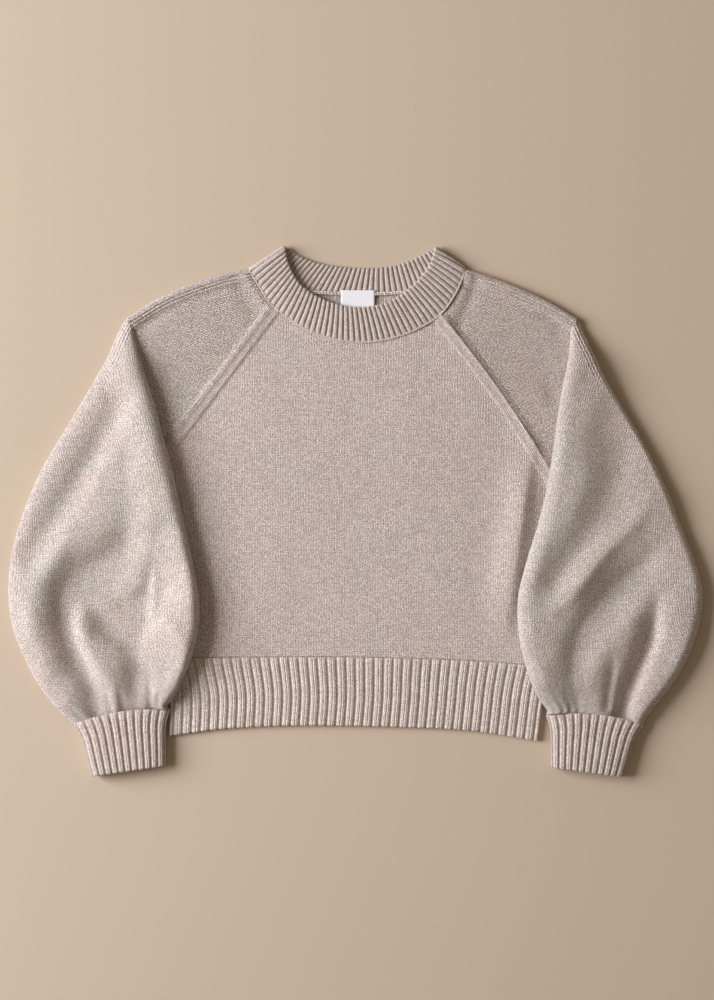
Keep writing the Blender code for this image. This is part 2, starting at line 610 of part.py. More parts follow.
def cap_layer(fold_line, seam, neck_curve, depth_shares):
    """Plan of one layer of a cap, from its shoulder fold to a raglan seam, and depths from the fold.

    The first row follows the neck seam; the bow dies away towards the corner of the shoulder.
    """
    reach = np.linalg.norm(seam - fold_line, axis=1)[:, None]
    depth = SHOULDER_RADIUS + (reach - SEAM_GAP - SHOULDER_RADIUS) * depth_shares[None, :]
    inwards = (seam - fold_line) / reach
    plan = fold_line[:, None] + inwards[:, None] * depth[..., None]
    at_neck = depth[0] / reach[0]
    bow = read_along(neck_curve, at_neck) - (fold_line[0] + (seam[0] - fold_line[0]) * at_neck[:, None])
    fade = np.linspace(1, 0, len(seam))[:, None, None] ** 3
    return plan + fade * bow[None], depth


def cap_grids(side, shoulder, neck_front, neck_back, back_raglan_top):
    """Outer and inner grid of a sleeve's cap: front layer, shoulder roll and back layer."""
    rows = 9
    radius = SHOULDER_RADIUS
    fold_line = curve(shoulder, np.linspace(0, 1, rows))
    front_seam = np.linspace(side.raglan_top, side.underarm, rows)
    back_seam = np.linspace(back_raglan_top, side.underarm, rows)
    front_plan, depth = cap_layer(fold_line, front_seam, neck_front, np.linspace(1, 0, 8)[:-1])
    back_plan, _ = cap_layer(fold_line, back_seam, neck_back, np.linspace(0, 1, 6)[1:])
    inwards = front_plan[:, -1] - fold_line
    inwards /= np.linalg.norm(inwards, axis=1)[:, None]
    angle = np.linspace(0, np.pi, 7)
    grids = []
    for inset in (0.0, WALL):
        roll = SHOULDER_RADIUS - inset
        top = PANEL_TOP + (2 * radius - PANEL_TOP) * np.exp(-((depth - radius) / SHOULDER_ROLL_REACH) ** 2)
        band = raglan_rise(front_plan, side) if inset == 0 else 0.0
        turned = fold_line[:, None] + inwards[:, None] * (radius - roll * np.sin(angle))[None, :, None]
        layers = (
            stack(front_plan, top + band - inset),
            stack(turned, (radius + roll * np.cos(angle))[None, :]),
            stack(back_plan, inset),
        )
        grid = np.concatenate(layers, axis=1)
        away = grid[1, :, :2] - grid[0, :, :2]
        grid[0, :, :2] += away / np.linalg.norm(away, axis=1)[:, None] * SEAM_GAP * 1.3
        grids.append(grid)
    return grids


def build_sleeve(name, side, shoulder, cap_end, sections, folds, neck_end, material):
    """One sleeve: the cap in the body's plane and the balloon folded down over it, as one body.

    neck_end is 0 for the sleeve at the left end of the neck curves and 1 for the right.
    """
    outer = sleeve_rings(sections, folds, side, cap_end, 0.0)
    inner = sleeve_rings(sections, folds, side, cap_end, WALL)[SOLID_TOE_RINGS:]
    sleeve = add_closed_tube(name, outer, inner, material)
    back_corner = back_neck_corners()[neck_end]
    neck_front = neck_stretch(NECK_SEAM_FRONT, shoulder[0], side.raglan_top, 60)
    neck_back = neck_stretch(NECK_SEAM_BACK, shoulder[0], back_corner, 60)
    grids = cap_grids(side, shoulder, neck_front, neck_back, back_corner)
    cap = add_wall(name + "_cap", *grids, material)
    cap.hide_render = True
    cap.display_type = "WIRE"
    join = sleeve.modifiers.new("cap", "BOOLEAN")
    join.operation = "UNION"
    join.solver = "EXACT"
    join.object = cap


def build_cuff(name, cuff, material):
    """Ribbed tube lying flat, open at both ends."""
    rows = 4
    upper_columns = 4 * CUFF_RIB_COUNT
    under_columns = 12
    share = np.linspace(0, 1, rows)[:, None]
    over = np.linspace(0, np.pi, 400)
    place = 0.5 - 0.5 * np.sign(np.cos(over)) * np.abs(np.cos(over)) ** 0.7
    crown = np.sin(over) ** 0.7
    half = CUFF_HEIGHT / 2
    width = np.hypot(*np.subtract(cuff.outer_seam, cuff.inner_seam))
    profile = np.column_stack([place * width, half * crown])
    upper = read_along(profile, np.linspace(0, 1, upper_columns + 1))
    lower = read_along(profile, np.linspace(0, 1, under_columns + 1))[::-1][1:-1]
    across = np.concatenate([upper[:, 0], lower[:, 0]])[None, :] / width
    lift = np.concatenate([upper[:, 1], -np.minimum(lower[:, 1] * 1.25, half)])[None, :]
    ribs = np.zeros(across.shape[1])
    ribs[:upper_columns + 1] = rib_wave(np.linspace(0, CUFF_RIB_COUNT, upper_columns + 1))
    grids = []
    for inset in (0.0, RIB_WALL):
        outer_x = cuff.outer_seam[0] + (cuff.outer_end[0] - cuff.outer_seam[0]) * share
        outer_y = cuff.outer_seam[1] + (cuff.outer_end[1] - cuff.outer_seam[1]) * share
        inner_x = cuff.inner_seam[0] + (cuff.inner_end[0] - cuff.inner_seam[0]) * share
        inner_y = cuff.inner_seam[1] + (cuff.inner_end[1] - cuff.inner_seam[1]) * share
        pulled = 0.5 + (across - 0.5) * (1 - 2.2 * inset / width)
        x = outer_x + (inner_x - outer_x) * pulled
        y = outer_y + (inner_y - outer_y) * pulled
        y = y + cuff.seam_bow * (1 - share) * 4 * pulled * (1 - pulled)
        z = half + lift * (half - inset) / half
        if inset == 0:
            fade = 1 - 0.6 * ((share == 0) | (share == 1))
            z = z + CUFF_RIB_RISE * ribs[None, :] * fade * (lift > 0)
        grids.append(np.stack([x, y, np.broadcast_to(z, x.shape)], axis=2))
    add_wall(name, grids[0], grids[1], material, closed=True)


# ---------------------------------------------------------------- the sweater

def main():
    for item in list(bpy.data.objects):
        bpy.data.objects.remove(item, do_unlink=True)
    knit = make_material("plain_knit", KNIT_COLOR, 0.9)
    rib = make_material("rib_knit", RIB_COLOR, 0.88)
    build_panels(knit)
    build_hem(rib)
    build_neckband(rib)
    build_neck_seam_roll(rib)
    build_label(make_material("label_cloth", LABEL_COLOR, 0.7))
    build_sleeve("sleeve_left", LEFT_SIDE, LEFT_SHOULDER, LEFT_CAP_END, LEFT_SECTIONS,
                 LEFT_FOLDS, 0, knit)
    build_sleeve("sleeve_right", RIGHT_SIDE, RIGHT_SHOULDER, RIGHT_CAP_END, RIGHT_SECTIONS,
                 RIGHT_FOLDS, 1, knit)
    build_cuff("cuff_left", LEFT_CUFF, rib)
    build_cuff("cuff_right", RIGHT_CUFF, rib)


main()
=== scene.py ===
"""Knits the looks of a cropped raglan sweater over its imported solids.

Metres, +Z up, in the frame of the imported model: X across the body, Y from the hem up to the neck,
Z the height over the surface that the sweater lies on. Left and right are as seen from above with
the neck at the top. Every cloth piece is a wall between two grids of points, worked out from a few
outlines, and carries stitch coordinates: wales across and courses along.
"""

from __future__ import annotations

import json
import logging
from dataclasses import dataclass, field
from enum import Enum
from typing import Any, NamedTuple, Sequence

import bpy
import numpy as np
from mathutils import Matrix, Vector
from numpy.typing import NDArray

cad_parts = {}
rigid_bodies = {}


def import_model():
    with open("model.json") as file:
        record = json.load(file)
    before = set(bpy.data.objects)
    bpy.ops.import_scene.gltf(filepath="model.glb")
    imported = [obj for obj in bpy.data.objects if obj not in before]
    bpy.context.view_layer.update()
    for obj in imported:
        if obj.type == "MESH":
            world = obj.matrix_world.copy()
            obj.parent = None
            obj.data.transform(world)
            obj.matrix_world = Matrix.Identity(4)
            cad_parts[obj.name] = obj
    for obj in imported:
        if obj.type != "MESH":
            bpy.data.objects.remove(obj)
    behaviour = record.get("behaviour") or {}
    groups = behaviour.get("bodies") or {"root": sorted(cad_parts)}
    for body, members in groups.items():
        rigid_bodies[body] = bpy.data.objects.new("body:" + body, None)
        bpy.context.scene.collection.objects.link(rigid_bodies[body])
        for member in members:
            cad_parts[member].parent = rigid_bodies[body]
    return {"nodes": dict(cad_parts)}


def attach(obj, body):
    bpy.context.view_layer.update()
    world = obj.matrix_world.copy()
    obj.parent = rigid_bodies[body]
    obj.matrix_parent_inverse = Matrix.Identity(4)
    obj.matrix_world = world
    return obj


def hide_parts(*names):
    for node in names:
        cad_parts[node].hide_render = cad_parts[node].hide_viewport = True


Array = NDArray[np.float64]
Point2 = tuple[float, float]
Rows2 = Sequence[Point2]

log = logging.getLogger("sweater")


# ---------------------------------------------------------------- curves

def spline(rows: Rows2 | Array, places: Array) -> Array:
    """Catmull-Rom curve: a cubic between each two rows whose slopes follow their neighbours.

    Args:
        rows: points that the curve passes through.
        places: where to read it, counted in rows from 0.

    Returns:
        One point for each place.
    """
    rows = np.asarray(rows, float)
    padded = np.concatenate([2 * rows[:1] - rows[1:2], rows, 2 * rows[-1:] - rows[-2:-1]])
    span = np.clip(np.floor(places).astype(int), 0, len(rows) - 2)
    t = (np.asarray(places, float) - span)[:, None]
    before, start, end, after = (padded[span + k] for k in range(4))
    slope_in = (end - before) / 2
    slope_out = (after - start) / 2
    return ((2 * t**3 - 3 * t**2 + 1) * start + (t**3 - 2 * t**2 + t) * slope_in
            + (3 * t**2 - 2 * t**3) * end + (t**3 - t**2) * slope_out)


def lengths_along(points: Array) -> Array:
    """Distance walked along a row of points up to each of them."""
    steps = np.linalg.norm(np.diff(points, axis=0), axis=1)
    return np.concatenate([[0.0], np.cumsum(steps)])


def read_along(points: Array, shares: Array | Sequence[float]) -> Array:
    """Points at the given shares of a polyline's length.

    Args:
        points: corners of the polyline.
        shares: shares of its length, from 0 to 1.

    Returns:
        One point for each share.
    """
    walked = lengths_along(points)
    wanted = np.asarray(shares, float) * walked[-1]
    return np.stack([np.interp(wanted, walked, points[:, k]) for k in range(points.shape[1])], axis=1)


def curve(points: Rows2 | Array, shares: Array | Sequence[float], steps: int = 40) -> Array:
    """Smooth curve through points, read at shares of its length."""
    dense = spline(points, np.linspace(0, len(points) - 1, steps * (len(points) - 1) + 1))
    return read_along(dense, shares)


def stretch_of(points: Rows2, start: Point2, end: Point2, shares: Array) -> Array:
    """Part of a curve between the points of it nearest to start and end, at shares of its length.

    Args:
        points: points that the curve passes through.
        start: where the part begins.
        end: where it ends.
        shares: shares of the part's length.

    Returns:
        One point for each share.
    """
    dense = curve(points, np.linspace(0, 1, 1600))
    first = int(np.argmin(np.linalg.norm(dense - np.asarray(start), axis=1)))
    last = int(np.argmin(np.linalg.norm(dense - np.asarray(end), axis=1)))
    step = 1 if last > first else -1
    return read_along(dense[np.arange(first, last + step, step)], shares)


def smooth_step(value: Array) -> Array:
    """0 below 0, 1 above 1, and 3t^2 - 2t^3 between."""
    t = np.clip(value, 0.0, 1.0)
    return t * t * (3 - 2 * t)


def bell(value: Array) -> Array:
    """Bell of height 1 at 0: e to the minus value squared."""
    return np.exp(-np.square(value))


def round_over(distance: Array, radius: float) -> Array:
    """Quarter circle that climbs from 0 at an edge to 1 at the radius, and stays there."""
    t = np.clip(distance / radius, 0.0, 1.0)
    return np.sqrt(1 - (1 - t) ** 2)


def graded(count: int, length: float, radius: float) -> Array:
    """Shares from 0 to 1, close together within a radius of both ends and even between.

    Args:
        count: number of even steps.
        length: length that the shares divide, metres.
        radius: width of the rounded edges, metres.

    Returns:
        The shares in rising order.
    """
    near = radius / length * np.array([0.0, 0.05, 0.16, 0.34, 0.6])
    middle = np.linspace(radius / length, 1 - radius / length, count)
    return np.unique(np.concatenate([near, middle, 1 - near]))


# ---------------------------------------------------------------- forms laid on a surface

@dataclass(frozen=True)
class Crease:
    """A soft ridge, or a trough where its height is negative, along a path seen from above.

    Across the path it is a bell that may be steeper on one side, e^-(d/w)^power; along the path it
    grows from a share of its height at the start and falls to a share at the end.
    """

    path: Rows2
    height: float
    left: float
    right: float
    start: float = 0.35
    end: float = 0.35
    power: float = 2.0

    def lift(self, x: Array, y: Array) -> Array:
        """Height that the crease adds at each point, metres.

        Args:
            x: places across, metres.
            y: places along, metres.

        Returns:
            The height at each point.
        """
        pieces = 24
        path = curve(self.path, np.linspace(0, 1, pieces + 1))
        step = np.diff(path, axis=0)
        away = np.stack([x, y], axis=-1)[..., None, :] - path[:-1]
        squared = np.sum(step**2, axis=1)
        t = np.clip(np.sum(away * step, axis=-1) / squared, 0, 1)
        off = away - t[..., None] * step
        distance = np.hypot(off[..., 0], off[..., 1])
        nearest = np.argmin(distance, axis=-1)[..., None]
        near = np.take_along_axis(distance, nearest, -1)[..., 0]
        cross = step[:, 0] * off[..., 1] - step[:, 1] * off[..., 0]
        side = np.take_along_axis(cross / (np.sqrt(squared) * (distance + 1e-9)), nearest, -1)[..., 0]
        width = self.right + (self.left - self.right) * (0.5 + 0.5 * side)
        along = (nearest[..., 0] + np.take_along_axis(t, nearest, -1)[..., 0]) / pieces
        grow = self.start + (1 - self.start) * smooth_step(along / 0.35)
        fall = self.end + (1 - self.end) * smooth_step((1 - along) / 0.35)
        return self.height * grow * fall * np.exp(-(near / width) ** self.power)


def creased(x: Array, y: Array, creases: Sequence[Crease]) -> Array:
    """Sum of the lifts of all creases.

    Args:
        x: places across, metres.
        y: places along, metres.
        creases: the creases to add up.

    Returns:
        The height at each point, metres.
    """
    total = np.zeros_like(x)
    for crease in creases:
        total += crease.lift(x, y)
    return total


@dataclass(frozen=True)
class Waviness:
    """Slow unevenness of hand-laid cloth: a sum of sine waves in seeded directions."""

    height: float
    wavelength: float
    seed: int
    waves: int = 7

    def lift(self, x: Array, y: Array) -> Array:
        """Height of the unevenness at each point, metres.

        Args:
            x: places across, metres.
            y: places along, metres.

        Returns:
            The height at each point.
        """
        draw = np.random.default_rng(self.seed)
        angle = draw.uniform(0, np.pi, self.waves)
        length = self.wavelength * draw.uniform(0.7, 1.6, self.waves)
        phase = draw.uniform(0, 2 * np.pi, self.waves)
        k = 2 * np.pi / length
        turn = x[..., None] * (k * np.cos(angle)) + y[..., None] * (k * np.sin(angle)) + phase
        return self.height * np.sin(turn).sum(axis=-1) / np.sqrt(self.waves)


@dataclass(frozen=True)
class Rib:
    """Cross-section of one rib: two knit wales with a fine line between, a furrow on each side."""

    rise: float
    furrow: float = 0.22
    line: float = 0.36
    line_width: float = 0.06

    def height(self, phase: Array) -> Array:
        """Rise over the furrow's floor at a phase counted in ribs from a furrow's middle, metres.

        A half ellipse over the share that the furrow leaves, less a narrow bell that is the line
        between the two wales.

        Args:
            phase: places counted in ribs.

        Returns:
            The rise at each place.
        """
        off_middle = np.abs(phase - np.floor(phase) - 0.5)
        foot = 0.5 - self.furrow / 2
        line = self.line * bell(off_middle / self.line_width)
        return self.rise * (round_over(foot - off_middle, foot) - line)

    def wales(self, phase: Array) -> Array:
        """Wales counted across: two on the rib and one squeezed into the furrow.

        Args:
            phase: places counted in ribs.

        Returns:
            The number of wales passed at each place.
        """
        whole = np.floor(phase)
        marks = (0.0, self.furrow / 2, 1 - self.furrow / 2, 1.0)
        return 3 * whole + np.interp(phase - whole, marks, (0.0, 0.5, 2.5, 3.0))


# ---------------------------------------------------------------- meshes

def quads(grid: NDArray) -> NDArray:
    """The four corners of each cell of a grid, in turn round the cell."""
    corners = np.stack([grid[:-1, :-1], grid[:-1, 1:], grid[1:, 1:], grid[1:, :-1]], axis=2)
    return corners.reshape(-1, 4, *grid.shape[2:])


def looped(grid: NDArray) -> NDArray:
    """Grid with its first column again after its last."""
    return np.concatenate([grid, grid[:, :1]], axis=1)


def raised(plan: Array, height: Array | float) -> Array:
    """Points of a plan grid at the given heights."""
    return np.concatenate([plan, np.broadcast_to(height, plan.shape[:2])[..., None]], axis=2)


class Hold(Enum):
    """How a sheet of cloth is held."""

    LAID = "laid"
    FOLDED = "folded"


class Cut(NamedTuple):
    """Flat cut of a piece: its width, length and area, metres."""

    width: float
    length: float
    area: float


@dataclass
class Wall:
    """Closed wall of cloth between an outer and an inner grid of points.

    Rows run down the piece and columns across it. In a ring the columns close on themselves. With
    tips, the first rows close to a point and the inner grid may have fewer rows.
    """

    outer: Array
    inner: Array
    stitches: Array
    inner_stitches: Array | None = None
    ring: bool = False
    tips: bool = False
    patch: tuple[Array, Array] | None = None

    def _parts(self) -> tuple[list[Array], list[Array], list[Array]]:
        """Points, vertex numbers of the faces, and stitch coordinates of their corners.

        Returns:
            Blocks of points, of faces and of corner coordinates, the last two in step.
        """
        first = np.arange(self.outer.shape[0] * self.outer.shape[1]).reshape(self.outer.shape[:2])
        second = np.arange(self.inner.shape[0] * self.inner.shape[1]).reshape(self.inner.shape[:2])
        second += first.size
        if self.ring:
            first, second = looped(first), looped(second)
        below = self.stitches if self.inner_stitches is None else self.inner_stitches
        outer_uv = quads(self.stitches)
        if self.patch is not None:
            mask, other = self.patch
            outer_uv = np.where(mask.reshape(-1, 1, 1), quads(other), outer_uv)
        faces = [quads(first), quads(second)[:, ::-1]]
        corners = [outer_uv, quads(below)[:, ::-1]]
        rims = [(first[-1], second[-1], self.stitches[-1])]
        if not self.tips:
            rims.append((first[0][::-1], second[0][::-1], self.stitches[0][::-1]))
        if not self.ring:
            rims.append((first[:, 0], second[:, 0], self.stitches[:, 0]))
            rims.append((first[::-1, -1], second[::-1, -1], self.stitches[::-1, -1]))
        for top, bottom, line in rims:
            faces.append(np.stack([top[:-1], top[1:], bottom[1:], bottom[:-1]], axis=1))
            corners.append(np.stack([line[:-1], line[1:], line[1:], line[:-1]], axis=1))
        points = [self.outer.reshape(-1, 3), self.inner.reshape(-1, 3)]
        if self.tips:
            for numbers, grid, line, turn in ((first, self.outer, self.stitches[0], 1),
                                              (second, self.inner, below[0], -1)):
                tip = sum(len(block) for block in points)
                points.append(grid[0].mean(axis=0)[None])
                tips = np.full(numbers.shape[1] - 1, tip)
                fan = np.stack([numbers[0][1:], numbers[0][:-1], tips], axis=1)
                spread = np.stack([line[1:], line[:-1], (line[1:] + line[:-1]) / 2], axis=1)
                faces.append(fan[:, ::turn])
                corners.append(spread[:, ::turn])
        return points, faces, corners

    def mesh(self, name: str) -> bpy.types.Mesh:
        """Blender mesh of the wall with its faces pointing out and its stitch coordinates as UVs.

        Args:
            name: the mesh's name.

        Returns:
            The mesh.
        """
        blocks, faces, corners = self._parts()
        points = np.concatenate(blocks)
        volume = 0.0
        for block in faces:
            a = points[block[:, 0]]
            for k in range(1, block.shape[1] - 1):
                volume += np.sum(a * np.cross(points[block[:, k]], points[block[:, k + 1]]))
        if volume < 0:
            faces = [block[:, ::-1] for block in faces]
            corners = [block[:, ::-1] for block in corners]
        sizes = np.concatenate([np.full(len(block), block.shape[1]) for block in faces])
        loops = np.concatenate([block.ravel() for block in faces])
        spread = np.concatenate([block.reshape(-1, 2) for block in corners])
        mesh = bpy.data.meshes.new(name)
        mesh.vertices.add(len(points))
        mesh.vertices.foreach_set("co", points.astype(np.float32).ravel())
        mesh.loops.add(len(loops))
        mesh.loops.foreach_set("vertex_index", loops.astype(np.int32))
        mesh.polygons.add(len(sizes))
        starts = np.concatenate([[0], np.cumsum(sizes)[:-1]])
        mesh.polygons.foreach_set("loop_start", starts.astype(np.int32))
        mesh.update(calc_edges=True)
        layer = mesh.uv_layers.new(name="stitches")
        layer.data.foreach_set("uv", spread.astype(np.float32).ravel())
        mesh.shade_smooth()
        return mesh


@dataclass(frozen=True)
class Piece:
    """How a finished mesh joins the object."""

    name: str
    replaces: tuple[str, ...]
    slot: str
    rests_on: tuple[str, ...] = ()
    hold: Hold = Hold.LAID
    cut: Cut | None = None

    def show(self, wall: Wall, material: bpy.types.Material) -> None:
        """Links the wall as an object of the root body, with its finish and what it stands for.

        Args:
            wall: the piece's cloth.
            material: its finish.
        """
        mesh = wall.mesh(self.name)
        mesh.materials.append(material)
        item = bpy.data.objects.new(self.name, mesh)
        bpy.context.scene.collection.objects.link(item)
        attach(item, "root")
        if self.replaces:
            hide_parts(*self.replaces)
        triangles = sum(len(face.vertices) - 2 for face in mesh.polygons)
        log.info("%s: %d triangles", self.name, triangles)


# ---------------------------------------------------------------- shader expressions

class Signal:
    """A node's output that can be used in Python expressions; each operator adds a Math node."""

    def __init__(self, board: Board, socket: bpy.types.NodeSocket) -> None:
        """Wraps a socket of a board's node tree."""
        self.board = board
        self.socket = socket

    def _math(self, operation: str, *values: Any) -> Signal:
        """Math node on this signal and others."""
        return self.board.node("ShaderNodeMath", {"operation": operation}, dict(enumerate(values)))

    def __add__(self, other: Any) -> Signal:
        """Sum."""
        return self._math("ADD", self, other)

    __radd__ = __add__

    def __sub__(self, other: Any) -> Signal:
        """Difference."""
        return self._math("SUBTRACT", self, other)

    def __rsub__(self, other: Any) -> Signal:
        """Difference the other way round."""
        return self._math("SUBTRACT", other, self)

    def __mul__(self, other: Any) -> Signal:
        """Product."""
        return self._math("MULTIPLY", self, other)

    __rmul__ = __mul__

    def __truediv__(self, other: Any) -> Signal:
        """Quotient."""
        return self._math("DIVIDE", self, other)

    def __pow__(self, other: Any) -> Signal:
        """Power."""
        return self._math("POWER", self, other)

    def fraction(self) -> Signal:
        """Part after the decimal point."""
        return self._math("FRACT", self)

    def size(self) -> Signal:
        """Value without its sign."""
        return self._math("ABSOLUTE", self)

    def sine(self) -> Signal:
        """Sine of the value in radians."""
        return self._math("SINE", self)


class Board:
    """Node tree of one material."""

    def __init__(self, name: str) -> None:
        """Makes the material with its Principled shader alone.

        Args:
            name: the material's name.
        """
        self.material = bpy.data.materials.new(name)
        self.material.use_nodes = True
        self.tree = self.material.node_tree
        self.shader = self.tree.nodes["Principled BSDF"]

    def node(self, kind: str, settings: dict[str, Any], values: dict[Any, Any], output: Any = 0) -> Signal:
        """Adds a node.

        Args:
            kind: Blender's type name.
            settings: the node's own properties, set first.
            values: numbers or signals for its inputs, by name or number.
            output: which output to return.

        Returns:
            That output.
        """
        node = self.tree.nodes.new(kind)
        for name, value in settings.items():
            setattr(node, name, value)
        for key, value in values.items():
            if isinstance(value, Signal):
                self.tree.links.new(value.socket, node.inputs[key])
            else:
                node.inputs[key].default_value = value
        return Signal(self, node.outputs[output])

    def stitches(self) -> tuple[Signal, Signal, Signal]:
        """Stitch coordinates: as a vector, the wales and the courses.

        Returns:
            The vector, the wales across and the courses along.
        """
        vector = self.node("ShaderNodeUVMap", {"uv_map": "stitches"}, {}, "UV")
        wales = self.node("ShaderNodeSeparateXYZ", {}, {0: vector}, "X")
        courses = self.node("ShaderNodeSeparateXYZ", {}, {0: vector}, "Y")
        return vector, wales, courses

    def place(self) -> Signal:
        """Place in the object's own frame, metres."""
        return self.node("ShaderNodeTexCoord", {}, {}, "Object")

    def noise(self, vector: Signal, scale: float, detail: float = 2.0, roughness: float = 0.5) -> Signal:
        """Noise between 0 and 1."""
        values = {"Vector": vector, "Scale": scale, "Detail": detail, "Roughness": roughness}
        return self.node("ShaderNodeTexNoise", {}, values, 0)

    def mix(self, factor: Any, low: Any, high: Any, blend: str = "MIX") -> Signal:
        """Mix of two colours."""
        settings = {"data_type": "RGBA", "blend_type": blend}
        return self.node("ShaderNodeMix", settings, {0: factor, 6: low, 7: high}, 2)

    def clamp(self, value: Signal, low: float = 0.0, high: float = 1.0) -> Signal:
        """Value kept between two limits."""
        return self.node("ShaderNodeClamp", {}, {0: value, "Min": low, "Max": high})

    def scaled(self, colour: Any, factor: Signal) -> Signal:
        """Colour times a number that varies."""
        return self.node("ShaderNodeVectorMath", {"operation": "SCALE"}, {0: colour, "Scale": factor}, 0)

    def feed(self, name: str, signal: Signal) -> None:
        """Links a signal to an input of the shader."""
        self.tree.links.new(signal.socket, self.shader.inputs[name])

    def constant(self, **values: Any) -> None:
        """Sets inputs of the shader; underscores in a name stand for spaces."""
        for name, value in values.items():
            self.shader.inputs[name.replace("_", " ")].default_value = value

    def bump(self, height: Signal, distance: float, strength: float = 1.0) -> None:
        """Bump of a height from 0 to 1 that stands for a distance."""
        values = {"Strength": strength, "Distance": distance, "Height": height}
        self.feed("Normal", self.node("ShaderNodeBump", {}, values, "Normal"))


Colour = tuple[float, float, float]


def rgba(colour: Colour) -> tuple[float, float, float, float]:
    """Opaque colour for a socket."""
    return (*colour, 1.0)


@dataclass(frozen=True)
class KnitFinish:
    """Heathered wool knit: columns of V stitches with fibres on them."""

    name: str
    warm: Colour
    cool: Colour
    relief: float = 0.0013
    # furrow: painted shade, how much the furrows of a rib are darkened in the colour
    furrow: float = 0.0
    slant: float = 0.9
    shade: float = 1.45
    grain: float = 3.6
    sheen: float = 0.3
    # Tint of painted shade: the colour turns browner where the light factor is low, mostly in the stitch
    # gaps and furrows
    painted_shade_tint: Colour = (1.08, 0.99, 0.90)
    leg_depth: float = 0.45
    stitch_mean: float = 0.6
    wander: float = 0.7
    wander_scale: float = 0.35
    fibre_scale: float = 2.2
    fibre_roughness: float = 0.65
    stitch_relief: float = 0.75
    fibre_relief: float = 1.1
    tone_swing: float = 0.26
    tone_low: float = 0.87
    # Where the painted furrow shade begins, in wales off a rib's middle, and how fast it deepens
    furrow_shade_foot: float = 0.36
    furrow_shade_slope: float = 14.0
    fleck_limits: tuple[float, float] = (0.3, 1.8)
    heather_scales: tuple[float, float] = (45.0, 14.0)

    def stitch(self, wales: Signal, courses: Signal, wander: Signal) -> Signal:
        """Legs of the stitches, 0 in the gaps and 1 on top.

        A leg is |sin 2 pi a|^0.5 across, times 1 - d + d |sin pi(b - 2 slant |a|)| along, where a and
        b are the places within a wale and a course and d is the depth of a leg.

        Args:
            wales: wales counted across.
            courses: courses counted along.
            wander: how far a column strays, in wales.

        Returns:
            The height of the legs.
        """
        a = (wales + wander).fraction() - 0.5
        across = (a * (2 * np.pi)).sine().size() ** 0.5
        along = ((courses - a.size() * (2 * self.slant)) * np.pi).sine().size()
        return across * (along * self.leg_depth + (1 - self.leg_depth))

    def heather(self, board: Board, place: Signal) -> Signal:
        """Share of the cool yarn at each place: a fine and a broad noise, centred on a half."""
        fine, broad = (board.noise(place, scale, 2.0, 0.5) for scale in self.heather_scales)
        return board.clamp(fine * 1.3 + broad * 2.2 - 1.25)

    def material(self) -> bpy.types.Material:
        """Material on stitch coordinates: yarn colours times a light.

        The light is painted light: the legs of the stitches, with painted shade in the gaps between them,
        times a fleck for each fibre and a tone for each stitch, which are the yarn's own, and less in the
        furrows of a rib, which is painted shade. The darker places take a browner painted-shade tint.

        Returns:
            The material.
        """
        board = Board(self.name)
        vector, wales, courses = board.stitches()
        wander = board.noise(vector, self.wander_scale, 1.0) * self.wander - self.wander / 2
        stitch = self.stitch(wales, courses, wander)
        fibre = board.noise(vector, self.fibre_scale, 3.0, self.fibre_roughness)
        cell = board.node("ShaderNodeVectorMath", {"operation": "FLOOR"}, {0: vector})
        tone = board.node("ShaderNodeTexWhiteNoise", {"noise_dimensions": "2D"}, {"Vector": cell})
        fleck = board.clamp(fibre * self.grain + (1 - self.grain / 2), *self.fleck_limits)
        light = stitch * self.shade + (1 - self.shade * self.stitch_mean)
        light = light * fleck * (tone * self.tone_swing + self.tone_low)
        # Painted shade in the furrows of a rib: the colour is darkened there for the shade that falls in
        # them.
        if self.furrow > 0:
            off_middle = ((wales / 3).fraction() - 0.5).size()
            painted_furrow_shade = board.clamp((off_middle - self.furrow_shade_foot) * self.furrow_shade_slope)
            light = light * (1 - painted_furrow_shade * self.furrow)
        yarn = board.mix(self.heather(board, board.place()), rgba(self.warm), rgba(self.cool))
        # Painted shade tint: browner where the light factor is low, mostly the painted shade of gaps and
        # furrows.
        gaps = board.mix(board.clamp(light), rgba(self.painted_shade_tint), rgba((1.0, 1.0, 1.0)))
        board.feed("Base Color", board.scaled(board.mix(1.0, yarn, gaps, "MULTIPLY"), light))
        board.constant(Roughness=0.85, Metallic=0.0, Specular_IOR_Level=0.5, Sheen_Weight=self.sheen,
                       Sheen_Roughness=0.45, Sheen_Tint=rgba((1.0, 1.0, 1.0)))
        board.bump(stitch * self.stitch_relief + fibre * self.fibre_relief, self.relief)
        return board.material


@dataclass(frozen=True)
class LabelFinish:
    """Plain white woven tape."""

    name: str
    white: Colour = (0.90, 0.89, 0.93)
    thread: float = 0.0005
    relief: float = 0.00006

    def material(self) -> bpy.types.Material:
        """Fine twill: a sine of the sum of both coordinates.

        Returns:
            The material.
        """
        board = Board(self.name)
        _, across, along = board.stitches()
        twill = ((across + along) * (2 * np.pi / self.thread / 2)).sine() * 0.5 + 0.5
        board.feed("Base Color", board.scaled(self.white, twill * 0.05 + 0.96))
        board.constant(Roughness=0.55, Specular_IOR_Level=0.4)
        board.bump(twill, self.relief)
        return board.material


@dataclass(frozen=True)
class FloorFinish:
    """Plain matt backdrop paper."""

    name: str
    colour: Colour
    relief: float = 0.00005

    def material(self) -> bpy.types.Material:
        """Even colour with faint clouds and a fine tooth.

        Returns:
            The material.
        """
        board = Board(self.name)
        place = board.place()
        cloud = board.noise(place, 1.6, 2.0)
        tooth = board.noise(place, 900.0, 2.0)
        board.feed("Base Color", board.scaled(self.colour, cloud * 0.05 + 0.975))
        board.constant(Roughness=0.85, Specular_IOR_Level=0.2)
        board.bump(tooth, self.relief)
        return board.material


# ---------------------------------------------------------------- outlines that pieces share

